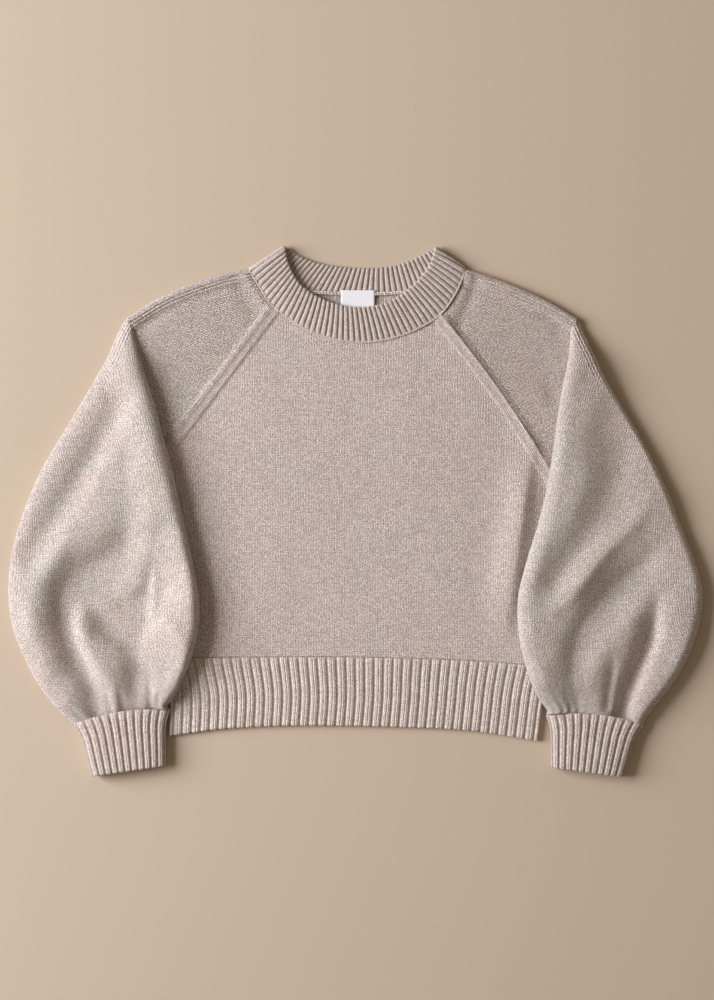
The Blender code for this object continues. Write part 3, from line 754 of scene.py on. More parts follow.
@dataclass(frozen=True)
class Side:
    """Side edge of the body, from the neck down to the free edge of the hem."""

    raglan_top: Point2
    underarm: Point2
    waist: Point2
    hem_top: Point2
    hem_turn: Point2
    hem_bottom: Point2
    bow: float = 0.0

    def raglan(self, shares: Array) -> Array:
        """Points of the raglan seam from the underarm to the neck, slightly bowed outwards.

        Args:
            shares: places along the seam, from 0 to 1.

        Returns:
            One plan point for each share.
        """
        start = np.asarray(self.underarm)
        along = np.subtract(self.raglan_top, self.underarm)
        outward = np.array([along[1], -along[0]]) * np.sign(start[0]) / np.linalg.norm(along)
        bulge = (4 * self.bow * shares * (1 - shares))[:, None]
        return start + along * shares[:, None] + outward * bulge


@dataclass(frozen=True)
class Pattern:
    """Sizes and outlines that several pieces share, metres."""

    wall: float = 0.0026
    rib_wall: float = 0.0030
    seam_gap: float = 0.00035
    layer_gap: float = 0.0005
    wale: float = 0.0036
    course: float = 0.0026
    edge_radius: float = 0.0018
    seam_radius: float = 0.0011
    band_width: float = 0.0115
    band_rise: float = 0.0015
    band_edge: float = 0.0030
    swell_rise: float = 0.0022
    swell_width: float = 0.0036
    jag_width: float = 0.0022
    jag_length: float = 0.0068
    shoulder_radius: float = 0.0045
    back_raglan_share: float = 0.085
    neck_seam_front: Rows2 = ((-0.1180, 0.2660), (-0.1050, 0.2450), (-0.0925, 0.2266), (-0.0620, 0.2040),
                              (-0.0300, 0.1903), (0.0045, 0.1850), (0.0400, 0.1900), (0.0700, 0.2013),
                              (0.0935, 0.2167), (0.1100, 0.2400), (0.1210, 0.2660))
    neck_seam_back: Rows2 = ((-0.1180, 0.2660), (-0.0900, 0.2500), (-0.0500, 0.2410), (0.0065, 0.2385),
                             (0.0600, 0.2410), (0.0950, 0.2500), (0.1210, 0.2660))
    neck_edge_front: Rows2 = ((-0.0780, 0.2910), (-0.0730, 0.2700), (-0.0590, 0.2475), (-0.0300, 0.2305),
                              (0.0020, 0.2240), (0.0350, 0.2300), (0.0620, 0.2480), (0.0800, 0.2700),
                              (0.0870, 0.2900))
    neck_edge_back: Rows2 = ((-0.0780, 0.2910), (-0.0600, 0.2800), (-0.0350, 0.2715), (0.0060, 0.2670),
                             (0.0420, 0.2700), (0.0680, 0.2795), (0.0870, 0.2900))
    hem_seam: Rows2 = ((-0.2160, -0.1610), (-0.1000, -0.1605), (0.0050, -0.1606), (0.1200, -0.1640),
                       (0.2140, -0.1710))
    hem_edge: Rows2 = ((-0.2055, -0.2475), (-0.1386, -0.2393), (-0.0495, -0.2361), (0.0748, -0.2387),
                       (0.1364, -0.2431), (0.1995, -0.2530))
    left: Side = Side((-0.0925, 0.2266), (-0.2170, 0.0620), (-0.2165, -0.0500), (-0.2160, -0.1610),
                      (-0.2055, -0.2050), (-0.2055, -0.2475))
    right: Side = Side((0.0935, 0.2167), (0.2210, 0.0330), (0.2180, -0.0650), (0.2140, -0.1710),
                       (0.2060, -0.2050), (0.1995, -0.2530), 0.0055)

    @property
    def front_bottom(self) -> float:
        """Height of the front panel's underside."""
        return self.wall + self.layer_gap

    @property
    def panel_top(self) -> float:
        """Height of the front panel's face."""
        return self.front_bottom + self.wall

    def back_corners(self) -> Array:
        """Where the back raglan seams meet the neckband."""
        return curve(self.neck_seam_back, (self.back_raglan_share, 1 - self.back_raglan_share))

    def seam_place(self, plan: Array, side: Side) -> tuple[Array, Array]:
        """Distance of each plan point from a raglan seam's line, and its place along that line.

        Args:
            plan: plan points.
            side: the side whose seam it is.

        Returns:
            The distances and the places, metres.
        """
        start = np.asarray(side.underarm)
        along = np.subtract(side.raglan_top, side.underarm)
        length = np.linalg.norm(along)
        along = along / length
        away = plan - start
        outward = (away[..., 0] * along[1] - away[..., 1] * along[0]) * np.sign(start[0])
        place = away[..., 0] * along[0] + away[..., 1] * along[1]
        share = np.clip(place / length, 0, 1)
        return np.abs(outward - 4 * side.bow * share * (1 - share)), place

    def band_stitches(self, distance: Array, place: Array) -> Array:
        """Stitch coordinates of the knit beside a raglan seam, which runs along the seam."""
        return np.stack([distance / self.wale + 0.1, place / self.course], axis=2)

    def band_relief(self, distance: Array, place: Array, body: bool) -> Array:
        """Relief of the fashioned band beside a raglan seam, metres.

        Both sides swell to the seam as a bell. On the body a flat band follows, and its far edge steps
        in and out every few courses.

        Args:
            distance: distance from the seam, metres.
            place: place along the seam, metres.
            body: whether it is the body's side of the seam.

        Returns:
            The relief at each point.
        """
        swell = self.swell_rise * bell(distance / self.swell_width)
        if not body:
            return swell
        jag = self.jag_width * ((place / self.jag_length) % 1.0 - 0.5)
        band = self.band_rise * smooth_step((self.band_width + jag - distance) / self.band_edge + 0.5)
        return (0.7 * swell + band) * smooth_step((place + 0.008) / 0.008)


PATTERN = Pattern()


def coons(bottom: Array, top: Array, left: Array, right: Array, shares: Array, v: Array) -> Array:
    """Coons patch between four edges: both ruled surfaces added, less the one through the corners.

    Args:
        bottom: finely divided first edge.
        top: finely divided last edge.
        left: points of the left edge at v.
        right: points of the right edge at v.
        shares: place of each column along its row, rows by columns.
        v: place of each row from the bottom to the top.

    Returns:
        Plan points, rows by columns by two.
    """
    u = shares[..., None]
    w = v[:, None, None]
    even = np.linspace(0, 1, len(bottom))
    below = np.stack([np.interp(shares, even, bottom[:, k]) for k in (0, 1)], axis=2)
    above = np.stack([np.interp(shares, even, top[:, k]) for k in (0, 1)], axis=2)
    between_sides = (1 - u) * left[:, None] + u * right[:, None]
    between_ends = (1 - w) * below + w * above
    corners = (1 - w) * ((1 - u) * bottom[0] + u * bottom[-1]) + w * ((1 - u) * top[0] + u * top[-1])
    return between_sides + between_ends - corners


def shrink(plan: Array, gap: float) -> Array:
    """Plan grid with each of its edges moved inwards by the gap.

    Args:
        plan: points of a plan grid.
        gap: how far, metres.

    Returns:
        The smaller grid.
    """
    moved = plan.copy()
    for axis in (0, 1):
        lines = np.moveaxis(plan, axis, 0)
        target = np.moveaxis(moved, axis, 0)
        for edge, inside in ((0, 1), (-1, -2)):
            along = np.gradient(lines[edge], axis=0)
            normal = np.stack([-along[:, 1], along[:, 0]], axis=1)
            normal /= np.linalg.norm(normal, axis=1)[:, None]
            toward = np.sum((lines[inside] - lines[edge]) * normal, axis=1)
            target[edge] += normal * np.sign(toward)[:, None] * gap
    return moved


# ---------------------------------------------------------------- body

@dataclass
class Body:
    """Front and back panels in stocking stitch, with fashioned bands beside the raglan seams."""

    knit: bpy.types.Material
    rows: int = 150
    columns: int = 130
    puff: float = 0.0022
    half_width: float = 0.215
    length: float = 0.42
    side_flat: float = 0.045
    side_run: float = 0.06
    hem_start: float = -0.160
    hem_run: float = 0.05
    neck_start: float = 0.12
    neck_run: float = 0.06
    neck_fall: float = 0.8
    folds: Sequence[Crease] = (
        Crease(((-0.120, 0.120), (-0.135, 0.000), (-0.120, -0.120)), -0.0010, 0.030, 0.030),
        Crease(((0.120, 0.110), (0.140, -0.010), (0.150, -0.130)), -0.0012, 0.024, 0.030),
        Crease(((0.000, 0.150), (0.010, 0.020), (-0.010, -0.120)), -0.0007, 0.040, 0.040),
    )
    side_ridge: Crease = Crease(
        ((0.194, 0.080), (0.190, 0.056), (0.185, 0.020), (0.180, -0.020), (0.174, -0.060), (0.168, -0.100),
         (0.163, -0.142)), 0.0092, 0.009, 0.020, 0.15, 0.3)
    waves: Waviness = Waviness(0.0003, 0.07, 11)

    def side_edge(self, side: Side, v: Array) -> Array:
        """Side edge of a panel from the hem seam over the underarm, at v 0.5, to the neck.

        Args:
            side: the side it belongs to.
            v: place of each row from the hem to the neck.

        Returns:
            One plan point for each row.
        """
        lower = curve((side.hem_top, side.waist, side.underarm), np.clip(2 * v, 0, 1))
        upper = side.raglan(np.clip(2 * v - 1, 0, 1))
        return np.where((v <= 0.5)[:, None], lower, upper)

    def plan(self, sides: tuple[Side, Side], neck: Rows2, v: Array, steps: Array, columns: int) -> Array:
        """Plan grid of a panel: columns at fixed steps in from both sides, even ones between.

        Args:
            sides: the left and the right side.
            neck: points of the neck's seam.
            v: place of each row from the hem to the neck.
            steps: distances from a side, metres.
            columns: number of even columns.

        Returns:
            Plan points, rows by columns by two.
        """
        left, right = (self.side_edge(side, v) for side in sides)
        fine = np.linspace(0, 1, 600)
        hem = curve(PATTERN.hem_seam, fine)
        top = stretch_of(neck, left[-1], right[-1], fine)
        near = steps[None, :] / np.linalg.norm(right - left, axis=1)[:, None]
        middle = near[:, -1:] + (1 - 2 * near[:, -1:]) * np.linspace(0, 1, columns)[None, 1:-1]
        shares = np.concatenate([near, middle, 1 - near[:, ::-1]], axis=1)
        return shrink(coons(hem, top, left, right, shares, v), PATTERN.seam_gap)

    def lift(self, plan: Array) -> Array:
        """Height of the front's underside: puffed up over the middle, flat at its edges.

        Args:
            plan: points of a plan grid.

        Returns:
            The height at each point, metres.
        """
        x, y = plan[..., 0], plan[..., 1]
        inward = smooth_step((self.half_width - self.side_flat - np.abs(x)) / self.side_run)
        to_neck = 1 - self.neck_fall * smooth_step((y - self.neck_start) / self.neck_run)
        lengthwise = smooth_step((y - self.hem_start) / self.hem_run) * to_neck
        height = self.puff + creased(x, y, self.folds) + self.waves.lift(x, y)
        ridge = self.side_ridge.lift(x, y)
        return PATTERN.front_bottom + (height * inward + ridge) * lengthwise

    def front(self) -> Wall:
        """Front panel with its bands.

        Returns:
            The wall of the panel.
        """
        v = graded(self.rows, self.length, PATTERN.edge_radius)
        band = 1.25 * np.concatenate([np.linspace(0, 0.003, 7), np.linspace(0.0036, 0.0125, 16)])
        plan = self.plan((PATTERN.left, PATTERN.right), PATTERN.neck_seam_front, v, band, self.columns)
        bottom = self.lift(plan)
        relief = np.zeros(plan.shape[:2])
        stitches = plan / (PATTERN.wale, PATTERN.course)
        other = stitches.copy()
        inside = np.zeros(plan.shape[:2], bool)
        near_seam = np.full(plan.shape[:2], np.inf)
        for side in (PATTERN.left, PATTERN.right):
            distance, place = PATTERN.seam_place(plan, side)
            same_side = plan[..., 0] * side.underarm[0] > 0
            relief += np.where(same_side, PATTERN.band_relief(distance, place, True), 0.0)
            chart = PATTERN.band_stitches(distance, place)
            here = same_side & (distance < PATTERN.band_width) & (place > -0.004)
            other[here] = chart[here]
            inside |= here
            near_seam = np.where(same_side & (place > 0), np.minimum(near_seam, distance), near_seam)
        ends = np.minimum(v, 1 - v)[:, None] * self.length
        soft = round_over(ends, PATTERN.edge_radius)
        seam = round_over(near_seam, PATTERN.seam_radius)
        thickness = PATTERN.wall * (0.15 + 0.55 * soft + 0.30 * seam)
        top = bottom + thickness + relief * soft * (0.5 + 0.5 * seam)
        mask = inside[:-1, :-1] & inside[1:, 1:] & inside[:-1, 1:] & inside[1:, :-1]
        return Wall(raised(plan, top), raised(plan, bottom), stitches, patch=(mask, other))

    def back(self) -> Wall:
        """Back panel, flat on the surface; it shows inside the neck.

        Returns:
            The wall of the panel.
        """
        corners = PATTERN.back_corners()
        sides = tuple(Side(tuple(corner), side.underarm, side.waist, side.hem_top, side.hem_turn,
                           side.hem_bottom)
                      for corner, side in zip(corners, (PATTERN.left, PATTERN.right)))
        v = np.linspace(0, 1, 60)
        plan = self.plan(sides, PATTERN.neck_seam_back, v, np.array([0.0]), 70)
        stitches = plan / (PATTERN.wale, PATTERN.course)
        return Wall(raised(plan, PATTERN.wall), raised(plan, 0.0), stitches)

    def build(self) -> None:
        """Builds and dresses both panels."""
        cut = Cut(0.434, 0.388, 0.148)
        Piece("front_body_panel", ("front_panel",), "knit", ("back_body_panel",), cut=cut).show(
            self.front(), self.knit)
        cut = Cut(0.434, 0.405, 0.158)
        Piece("back_body_panel", ("back_panel",), "knit", cut=cut).show(self.back(), self.knit)


@dataclass
class Hem:
    """Deep ribbed hem in two halves; ribs stand on the half that faces up."""

    rib_knit: bpy.types.Material
    knit: bpy.types.Material
    ribs: int = 41
    pitch: float = 0.0105
    cells: int = 16
    rows: int = 26
    length: float = 0.078
    rib: Rib = Rib(0.0016, 0.18, 0.42)
    scallop: float = 0.0007
    scallop_reach: float = 0.004
    edge_grade: float = 0.0024
    edge_radius: float = 0.0022
    side_radius: float = 0.003
    fade_run: float = 0.005

    def plan(self, columns: int, v: Array) -> Array:
        """Plan grid between the seam, the free edge and both side edges.

        Args:
            columns: number of even columns.
            v: place of each row from the seam to the free edge.

        Returns:
            Plan points, rows by columns by two.
        """
        fine = np.linspace(0, 1, 800)
        sides = [curve((side.hem_top, side.hem_turn, side.hem_bottom), v)
                 for side in (PATTERN.left, PATTERN.right)]
        shares = np.broadcast_to(np.linspace(0, 1, columns), (len(v), columns))
        plan = coons(curve(PATTERN.hem_seam, fine), curve(PATTERN.hem_edge, fine), *sides, shares, v)
        return shrink(plan, PATTERN.seam_gap)

    def front(self) -> Wall:
        """Half with ribs, its free edge rounded and slightly scalloped.

        Returns:
            The wall of the upper half.
        """
        v = graded(self.rows, self.length, self.edge_grade)
        columns = self.ribs * self.cells + 1
        plan = self.plan(columns, v)
        phase = np.linspace(0, self.ribs, columns)[None, :] + 0.5
        rise = self.rib.height(phase)
        from_seam = v[:, None] * self.length
        from_edge = (1 - v)[:, None] * self.length
        plan[..., 1] += self.scallop * (1 - rise / self.rib.rise) * bell(from_edge / self.scallop_reach)
        soft = round_over(np.minimum(from_edge, from_seam + 0.0006), self.edge_radius)
        fade = 0.45 + 0.55 * smooth_step(from_seam / self.fade_run)
        sides = np.minimum(phase - 0.5, self.ribs - phase + 0.5) * self.pitch
        soft = np.minimum(soft, round_over(sides + 0.0002, self.side_radius))
        thickness = (PATTERN.rib_wall - 0.0004 + rise * fade) * (0.25 + 0.75 * soft)
        bottom = PATTERN.front_bottom
        wales = np.broadcast_to(self.rib.wales(phase), plan.shape[:2])
        courses = np.broadcast_to(-from_seam / PATTERN.course, plan.shape[:2])
        stitches = np.stack([wales, courses], axis=2)
        return Wall(raised(plan, bottom + thickness), raised(plan, bottom), stitches)

    def back(self) -> Wall:
        """Plain half under it."""
        plan = self.plan(120, np.linspace(0, 1, 12))
        return Wall(raised(plan, PATTERN.wall), raised(plan, 0.0), plan / (PATTERN.wale, PATTERN.course))

    def build(self) -> None:
        """Builds and dresses both halves."""
        cut = Cut(0.43, 0.078, 0.0333)
        Piece("front_hem_rib", ("hem_front",), "rib", ("back_hem_rib",), cut=cut).show(
            self.front(), self.rib_knit)
        Piece("back_hem_rib", ("hem_back",), "rib", cut=cut).show(self.back(), self.knit)


# ---------------------------------------------------------------- neck

@dataclass
class Neck:
    """Ribbed neckband, its linking chain, the seam roll inside the back and the blank label."""

    rib_knit: bpy.types.Material
    chain_knit: bpy.types.Material
    label_cloth: bpy.types.Material
    ribs: int = 86
    cells: int = 12
    rows: int = 18
    band_length: float = 0.036
    rib: Rib = Rib(0.0017, 0.26, 0.20)
    edge_grade: float = 0.0022
    edge_radius: float = 0.0020
    fade_run: float = 0.005
    front_top: float = 0.0066
    edge_rise: float = 0.0030
    chain_radius: float = 0.0010
    chain_share: float = 0.545
    roll_radius: float = 0.0016
    label_width: float = 0.037
    label_length: float = 0.030
    label_thickness: float = 0.0008
    label_place: Point2 = (0.0020, 0.2425)
    label_radius: float = 0.0009
    roll_ends: tuple[Point2, Point2] = ((-0.066, 0.2435), (0.080, 0.2450))

    def ring(self, front: Array, back: Array, top: Array, shares: Array) -> Array:
        """Ring lying flat: a front curve at the height top over a back curve at 0.

        Both share their ends, where the ring turns over in a half circle of the radius top / 2. It
        is read from the left turn over the front and back again.

        Args:
            front: plan of the front curve.
            back: plan of the back curve.
            top: height of the front along its curve.
            shares: places round the ring, from 0 to 1.

        Returns:
            One point for each share.
        """
        halves = []
        for plan, sign in ((front, 1), (back, -1)):
            walked = lengths_along(plan)
            from_end = np.minimum(walked, walked[-1] - walked)
            radius = top / 2
            inside = np.clip(radius - from_end, 0, None)
            height = radius + sign * np.sqrt(radius**2 - inside**2)
            halves.append(np.column_stack([plan, height]))
        loop = np.concatenate([halves[0], halves[1][-2::-1]])
        return read_along(loop, shares)

    def rings(self, shares_down: Array, turns: Array) -> Array:
        """Rings of the band's middle surface from its seam to its free edge.

        Args:
            shares_down: place of each ring from the seam to the edge.
            turns: places round each ring, from 0 to 1.

        Returns:
            Points, rings by places by three.
        """
        dense = np.linspace(0, 1, 900)
        seam = [curve(points, dense) for points in (PATTERN.neck_seam_front, PATTERN.neck_seam_back)]
        edge = [curve(points, dense) for points in (PATTERN.neck_edge_front, PATTERN.neck_edge_back)]
        radius = PATTERN.shoulder_radius
        middle = np.sin(np.pi * dense) ** 0.5
        rows = []
        for share in shares_down:
            front, back = ((1 - share) * a + share * b for a, b in zip(seam, edge))
            top = 2 * radius + (self.front_top - 2 * radius) * middle
            top = top + self.edge_rise * np.sin(share * np.pi / 2)
            rows.append(self.ring(front, back, top, turns))
        return np.stack(rows)

    def band(self) -> Wall:
        """Neckband with ribs on its outer face and, inside the back, on the face that shows.

        Returns:
            The wall of the band.
        """
        down = graded(self.rows, self.band_length, self.edge_grade)
        columns = self.ribs * self.cells
        plain = self.rings(down, np.arange(columns) / columns)
        along = np.roll(plain, -1, axis=1) - np.roll(plain, 1, axis=1)
        across = np.gradient(plain, down, axis=0)
        normal = np.cross(across, along)
        normal /= np.linalg.norm(normal, axis=2)[..., None]
        if normal[0, columns // 4, 2] < 0:
            normal = -normal
        phase = np.arange(columns) / self.cells
        rise = self.rib.height(phase)[None, :]
        from_seam = down[:, None] * self.band_length
        from_edge = (1 - down)[:, None] * self.band_length
        soft = round_over(np.minimum(from_edge, from_seam + 0.0008), self.edge_radius)
        fade = 0.5 + 0.5 * smooth_step(from_seam / self.fade_run)
        off_floor = smooth_step((plain[..., 2] - 0.001) / 0.003)
        half = PATTERN.rib_wall / 2
        out = half * (0.2 + 0.8 * soft) + rise * fade * soft * off_floor
        facing_up = smooth_step(-normal[..., 2] * 2)
        into = half * (0.2 + 0.8 * soft) + rise * fade * soft * facing_up
        middle = plain - normal * half
        outer = middle + normal * out[..., None]
        inner = middle - normal * into[..., None]
        wales = self.rib.wales(np.arange(columns + 1) / self.cells)
        courses = from_seam / PATTERN.course
        stitches = np.stack(np.broadcast_arrays(wales[None, :], courses), axis=2)
        return Wall(outer, inner, stitches, ring=True)

    def tube(self, path: Array, radius: float, sides: int, pitch: float, beat: float) -> Wall:
        """Closed tube along a path, pinched into chain loops.

        Its radius is the circle's times 1 - beat + 2 beat |sin t|, with t the turn along and round it.

        Args:
            path: points along its middle.
            radius: radius of the circle, metres.
            sides: number of points round it.
            pitch: length of a loop, metres.
            beat: how much its radius swells and shrinks, as a share.

        Returns:
            The wall of the tube.
        """
        walked = lengths_along(path)
        heading = np.gradient(path, axis=0)
        heading /= np.linalg.norm(heading, axis=1)[:, None]
        aside = np.cross(heading, (0.0, 0.0, 1.0))
        aside /= np.linalg.norm(aside, axis=1)[:, None]
        over = np.cross(aside, heading)
        angle = np.linspace(0, 2 * np.pi, sides, endpoint=False)
        twist = walked[:, None] / pitch * np.pi + angle[None, :] * 0.5
        ends = round_over(np.minimum(walked, walked[-1] - walked), 2 * radius)[:, None]
        size = radius * (1 - beat + 2 * beat * np.abs(np.sin(twist))) * (0.02 + 0.98 * ends)
        outer = (path[:, None] + aside[:, None] * (size * np.cos(angle))[..., None]
                 + over[:, None] * (size * np.sin(angle))[..., None])
        inner = path[:, None] + (outer - path[:, None]) * 0.3
        around = np.linspace(0, 2, sides + 1)
        stitches = np.stack(np.broadcast_arrays(around[None, :], walked[:, None] / PATTERN.course), axis=2)
        return Wall(outer, inner, stitches, ring=True)

    def chain(self) -> Wall:
        """Light linking chain along the neck seam, over the front from shoulder to shoulder.

        Returns:
            The wall of the chain.
        """
        columns = self.ribs * self.cells
        seam = self.rings(np.array([0.0]), np.arange(columns) / columns)[0]
        path = seam[:int(columns * self.chain_share)]
        path = path[path[:, 2] > PATTERN.shoulder_radius]
        path = read_along(path, np.linspace(0.012, 0.988, 1100))
        path[:, 2] += 0.0002
        return self.tube(path, self.chain_radius, 8, PATTERN.wale, 0.22)

    def roll(self) -> Wall:
        """Roll of the linked seam inside the back.

        Returns:
            The wall of the roll.
        """
        shares = np.linspace(0, 1, 420)
        path = stretch_of(PATTERN.neck_seam_back, *self.roll_ends, shares)
        path = raised(path[None], PATTERN.rib_wall + self.roll_radius + PATTERN.seam_gap)[0]
        return self.tube(path, self.roll_radius * 1.15, 14, PATTERN.wale, 0.12)

    def label(self) -> Wall:
        """Blank label over the roll, hanging down on the back panel, its edges rounded.

        Returns:
            The wall of the label.
        """
        across = np.linspace(-0.5, 0.5, 41) * self.label_width
        down = np.linspace(0, self.label_length, 45)
        over_roll = PATTERN.rib_wall + 2 * self.roll_radius + 2 * PATTERN.seam_gap
        on_panel = PATTERN.wall + PATTERN.seam_gap
        height = over_roll + (on_panel - over_roll) * down / self.label_length
        x, drop = np.meshgrid(across, down)
        edge = np.minimum(self.label_width / 2 - np.abs(x), np.minimum(drop, self.label_length - drop))
        low = np.broadcast_to(height[:, None], x.shape)
        plan = np.stack([x + self.label_place[0], self.label_place[1] - drop], axis=2)
        top = low + self.label_thickness * (0.35 + 0.65 * round_over(edge, self.label_radius))
        return Wall(raised(plan, top), raised(plan, low), np.stack([x, drop], axis=2))

    def build(self) -> None:
        """Builds and dresses all pieces of the neck."""
        Piece("neckband_rib", ("neckband",), "rib", ("front_body_panel", "back_body_panel"),
              cut=Cut(0.50, 0.036, 0.018)).show(self.band(), self.rib_knit)
        Piece("neck_linking_chain", (), "rib").show(self.chain(), self.chain_knit)
        Piece("back_neck_roll", ("neck_seam_roll",), "rib").show(
            self.roll(), self.chain_knit)
        Piece("blank_label", ("neck_label",), "label", ("back_neck_roll", "back_body_panel"),
              cut=Cut(0.037, 0.031, 0.00114)).show(self.label(), self.label_cloth)


# ---------------------------------------------------------------- sleeves

class Section(NamedTuple):
    """Cross-section of a balloon sleeve: its edges in plan, its height, and its middle's bow."""

    outer_x: float
    outer_y: float
    inner_x: float
    inner_y: float
    height: float
    bow: float = 0.0


@dataclass
class Sleeve:
    """One sleeve: the raglan cap in the body's plane and the balloon folded down over it."""

    name: str
    node: str
    side: Side
    shoulder: Rows2
    cap_end: Rows2
    sections: Sequence[Section]
    folds: Sequence[Crease]
    cap_folds: Sequence[Crease]
    neck_end: int
    knit: bpy.types.Material
    cap_knit: bpy.types.Material
    rings: int = 210
    over: int = 150
    under: int = 44
    lift: float = 0.0080
    lift_run: float = 0.012
    soft_run: float = 0.060
    lift_margin: float = 0.016
    tip_y: float = 0.206
    tip_run: float = 0.060
    cuff_y: float = -0.2145
    cuff_run: float = 0.010
    outer_share: float = 0.32
    inner_share: float = 0.42
    roundness: float = 0.8
    outer_rims: tuple[float, float] = (0.016, 0.022)
    inner_rims: tuple[float, float] = (0.017, 0.012)
    tilt: float = 0.34
    least_room: float = 0.0035
    least_hollow: float = 0.0006
    soft_room: float = 0.0010
    least_height: float = 0.003
    solid_toe: int = 42
    cap_rows: int = 96
    gathers: int = 8
    gather_rise: float = 0.0006
    gather_reach: float = 0.016
    roll_reach: float = 0.014
    edge_wale: float = 0.0005
    edge_reach: float = 0.016
    edge_fade: float = 0.004
    groove: tuple[float, float, float] = (-0.0012, 0.0175, 0.0045)
    neck_bulge: tuple[float, float, float] = (0.0012, 0.009, 0.007)
    neck_dip: tuple[float, float, float] = (-0.0012, 0.026, 0.009)
    waves: Waviness = field(default_factory=lambda: Waviness(0.0007, 0.055, 5))

    def hidden_edge_x(self, y: Array) -> Array:
        """X of the body's hidden side edge under the sleeve, at each y.

        Args:
            y: places along, metres.

        Returns:
            The x of the edge.
        """
        side = self.side
        points = np.array([*self.cap_end, side.waist, side.hem_top, side.hem_turn])
        order = np.argsort(points[:, 1])
        return np.interp(y, points[order, 1], points[order, 0])

    def support(self, x: Array, y: Array, run: float) -> Array:
        """Height of what the sleeve lies on: the surface, lifted over the body and just outside it.

        Args:
            x: places across, metres.
            y: places along, metres.
            run: width of the rise beside the body, metres.

        Returns:
            The height at each point, metres.
        """
        outward = np.sign(self.side.underarm[0])
        past_edge = outward * (self.hidden_edge_x(y) - x)
        share = smooth_step((past_edge + self.lift_margin + run) / run)
        share = share * smooth_step((y - self.cuff_y) / max(self.cuff_run, run / 2))
        share = share * smooth_step((self.tip_y - y) / self.tip_run)
        return self.lift * share

    def edge_wales(self, depth: Array) -> Array:
        """Ridges of the few wales that are pulled straight along the shoulder's edge, metres.

        Args:
            depth: distance from the edge, metres.

        Returns:
            The height of the ridges.
        """
        fade = smooth_step((self.edge_reach - depth) / self.edge_fade)
        return -self.edge_wale * np.cos(2 * np.pi * depth / PATTERN.wale) * fade

    def loops(self, inset: float, places: Array) -> tuple[Array, Array]:
        """Rings of the balloon's surface, moved inwards by the inset, and their stitch coordinates.

        Each ring is a flattened superellipse between its outer and inner edge points. Its top is a
        crown with the folds on it, its underside lies on the surface and on the body. The room
        between them stays over the least one: least + (spare + hypot(spare, 2 soft)) / 2. Where the
        layers are pressed together, the wall gets thinner.

        Args:
            inset: how far the surface lies inside the outer one, metres.
            places: places of the rings, counted in sections.

        Returns:
            Points, rings by places by three, and their stitch coordinates.
        """
        rows = spline(np.array(self.sections), places).T[..., None]
        outer_x, outer_y, inner_x, inner_y, height, bow = rows
        height = np.maximum(height, self.least_height)
        turn = np.concatenate([np.linspace(0, np.pi, self.over + 1),
                               np.linspace(np.pi, 2 * np.pi, self.under + 1)[1:-1]])[None, :]
        upper = (np.arange(turn.shape[1]) <= self.over)[None, :]
        cosine = np.cos(turn)
        across = 0.5 - 0.5 * np.sign(cosine) * np.abs(cosine) ** self.roundness
        width = np.hypot(inner_x - outer_x, inner_y - outer_y)
        down = smooth_step((places / places[-1] - 0.4) / 0.3)[:, None]
        outer_rim = self.outer_rims[0] + (self.outer_rims[1] - self.outer_rims[0]) * down
        inner_rim = self.inner_rims[0] + (self.inner_rims[1] - self.inner_rims[0]) * down
        outer_side = round_over(across * width, np.minimum(outer_rim, width / 2))
        inner_side = round_over((1 - across) * width, np.minimum(inner_rim, width / 2))
        crown = outer_side * inner_side
        share = self.outer_share + (self.inner_share - self.outer_share) * across
        fullness = 1 + self.tilt * (2 * across - 1)
        across = 0.5 + (across - 0.5) * (1 - 2.4 * inset / width)
        x = outer_x + (inner_x - outer_x) * across
        y = outer_y + (inner_y - outer_y) * across + bow * 4 * across * (1 - across)
        edge = self.support(x, y, self.soft_run) + share * height
        crest = (fullness - share) * height
        girth_top = edge + (crest - inset) * crown
        folds = creased(x, y, self.folds) + self.waves.lift(x, y) * smooth_step(height / 0.03)
        centre = np.stack([(outer_x + inner_x)[:, 0] / 2, (outer_y + inner_y)[:, 0] / 2], axis=1)
        walked = lengths_along(centre)
        to_cuff = (walked[-1] - walked)[:, None]
        uneven = 0.9 * np.sin(5.1 * across + 1.0 + self.neck_end)
        gather = np.sin(2 * np.pi * (self.gathers * across + uneven))
        strength = np.clip(0.35 + 0.9 * np.sin(7.3 * across + 2.1 * self.neck_end), 0.1, 1)
        folds = folds + self.gather_rise * gather * strength * bell(to_cuff / self.gather_reach)
        folds = folds + self.edge_wales(across * width) * smooth_step((0.09 - walked) / 0.05)[:, None]
        drop = np.clip(1.3 * crown, 0, 1)
        bottom = edge + (self.support(x, y, self.lift_run) - edge) * drop
        least = np.minimum(self.least_room, height / 2) * crown
        spare = edge + (crest + folds) * crown - bottom - least
        room = least + 0.5 * (spare + np.hypot(spare, 2 * self.soft_room * crown))
        hollow = room / np.maximum(crown, 1e-6) - self.least_hollow
        pressed = np.clip(hollow / (2 * PATTERN.wall), 0, 1)
        top = bottom + room - inset * crown * pressed
        bottom = bottom + inset * drop * pressed
        points = np.stack([x, y, np.where(upper, top, bottom)], axis=2)
        plain = np.stack([x, y, np.where(upper, girth_top, bottom)], axis=2)
        closed = looped(plain)
        steps = np.linalg.norm(np.diff(closed, axis=1), axis=2)
        round_it = np.concatenate([np.zeros((len(closed), 1)), np.cumsum(steps, axis=1)], axis=1)
        girth = round_it[:, -1]
        cloth = np.maximum.accumulate(girth)
        top_middle = round_it[:, self.over // 2]
        wales = (round_it - top_middle[:, None]) * (cloth / girth)[:, None] / PATTERN.wale
        courses = np.broadcast_to(-walked[:, None] / PATTERN.course, wales.shape)
        return points, np.stack([wales, courses], axis=2)

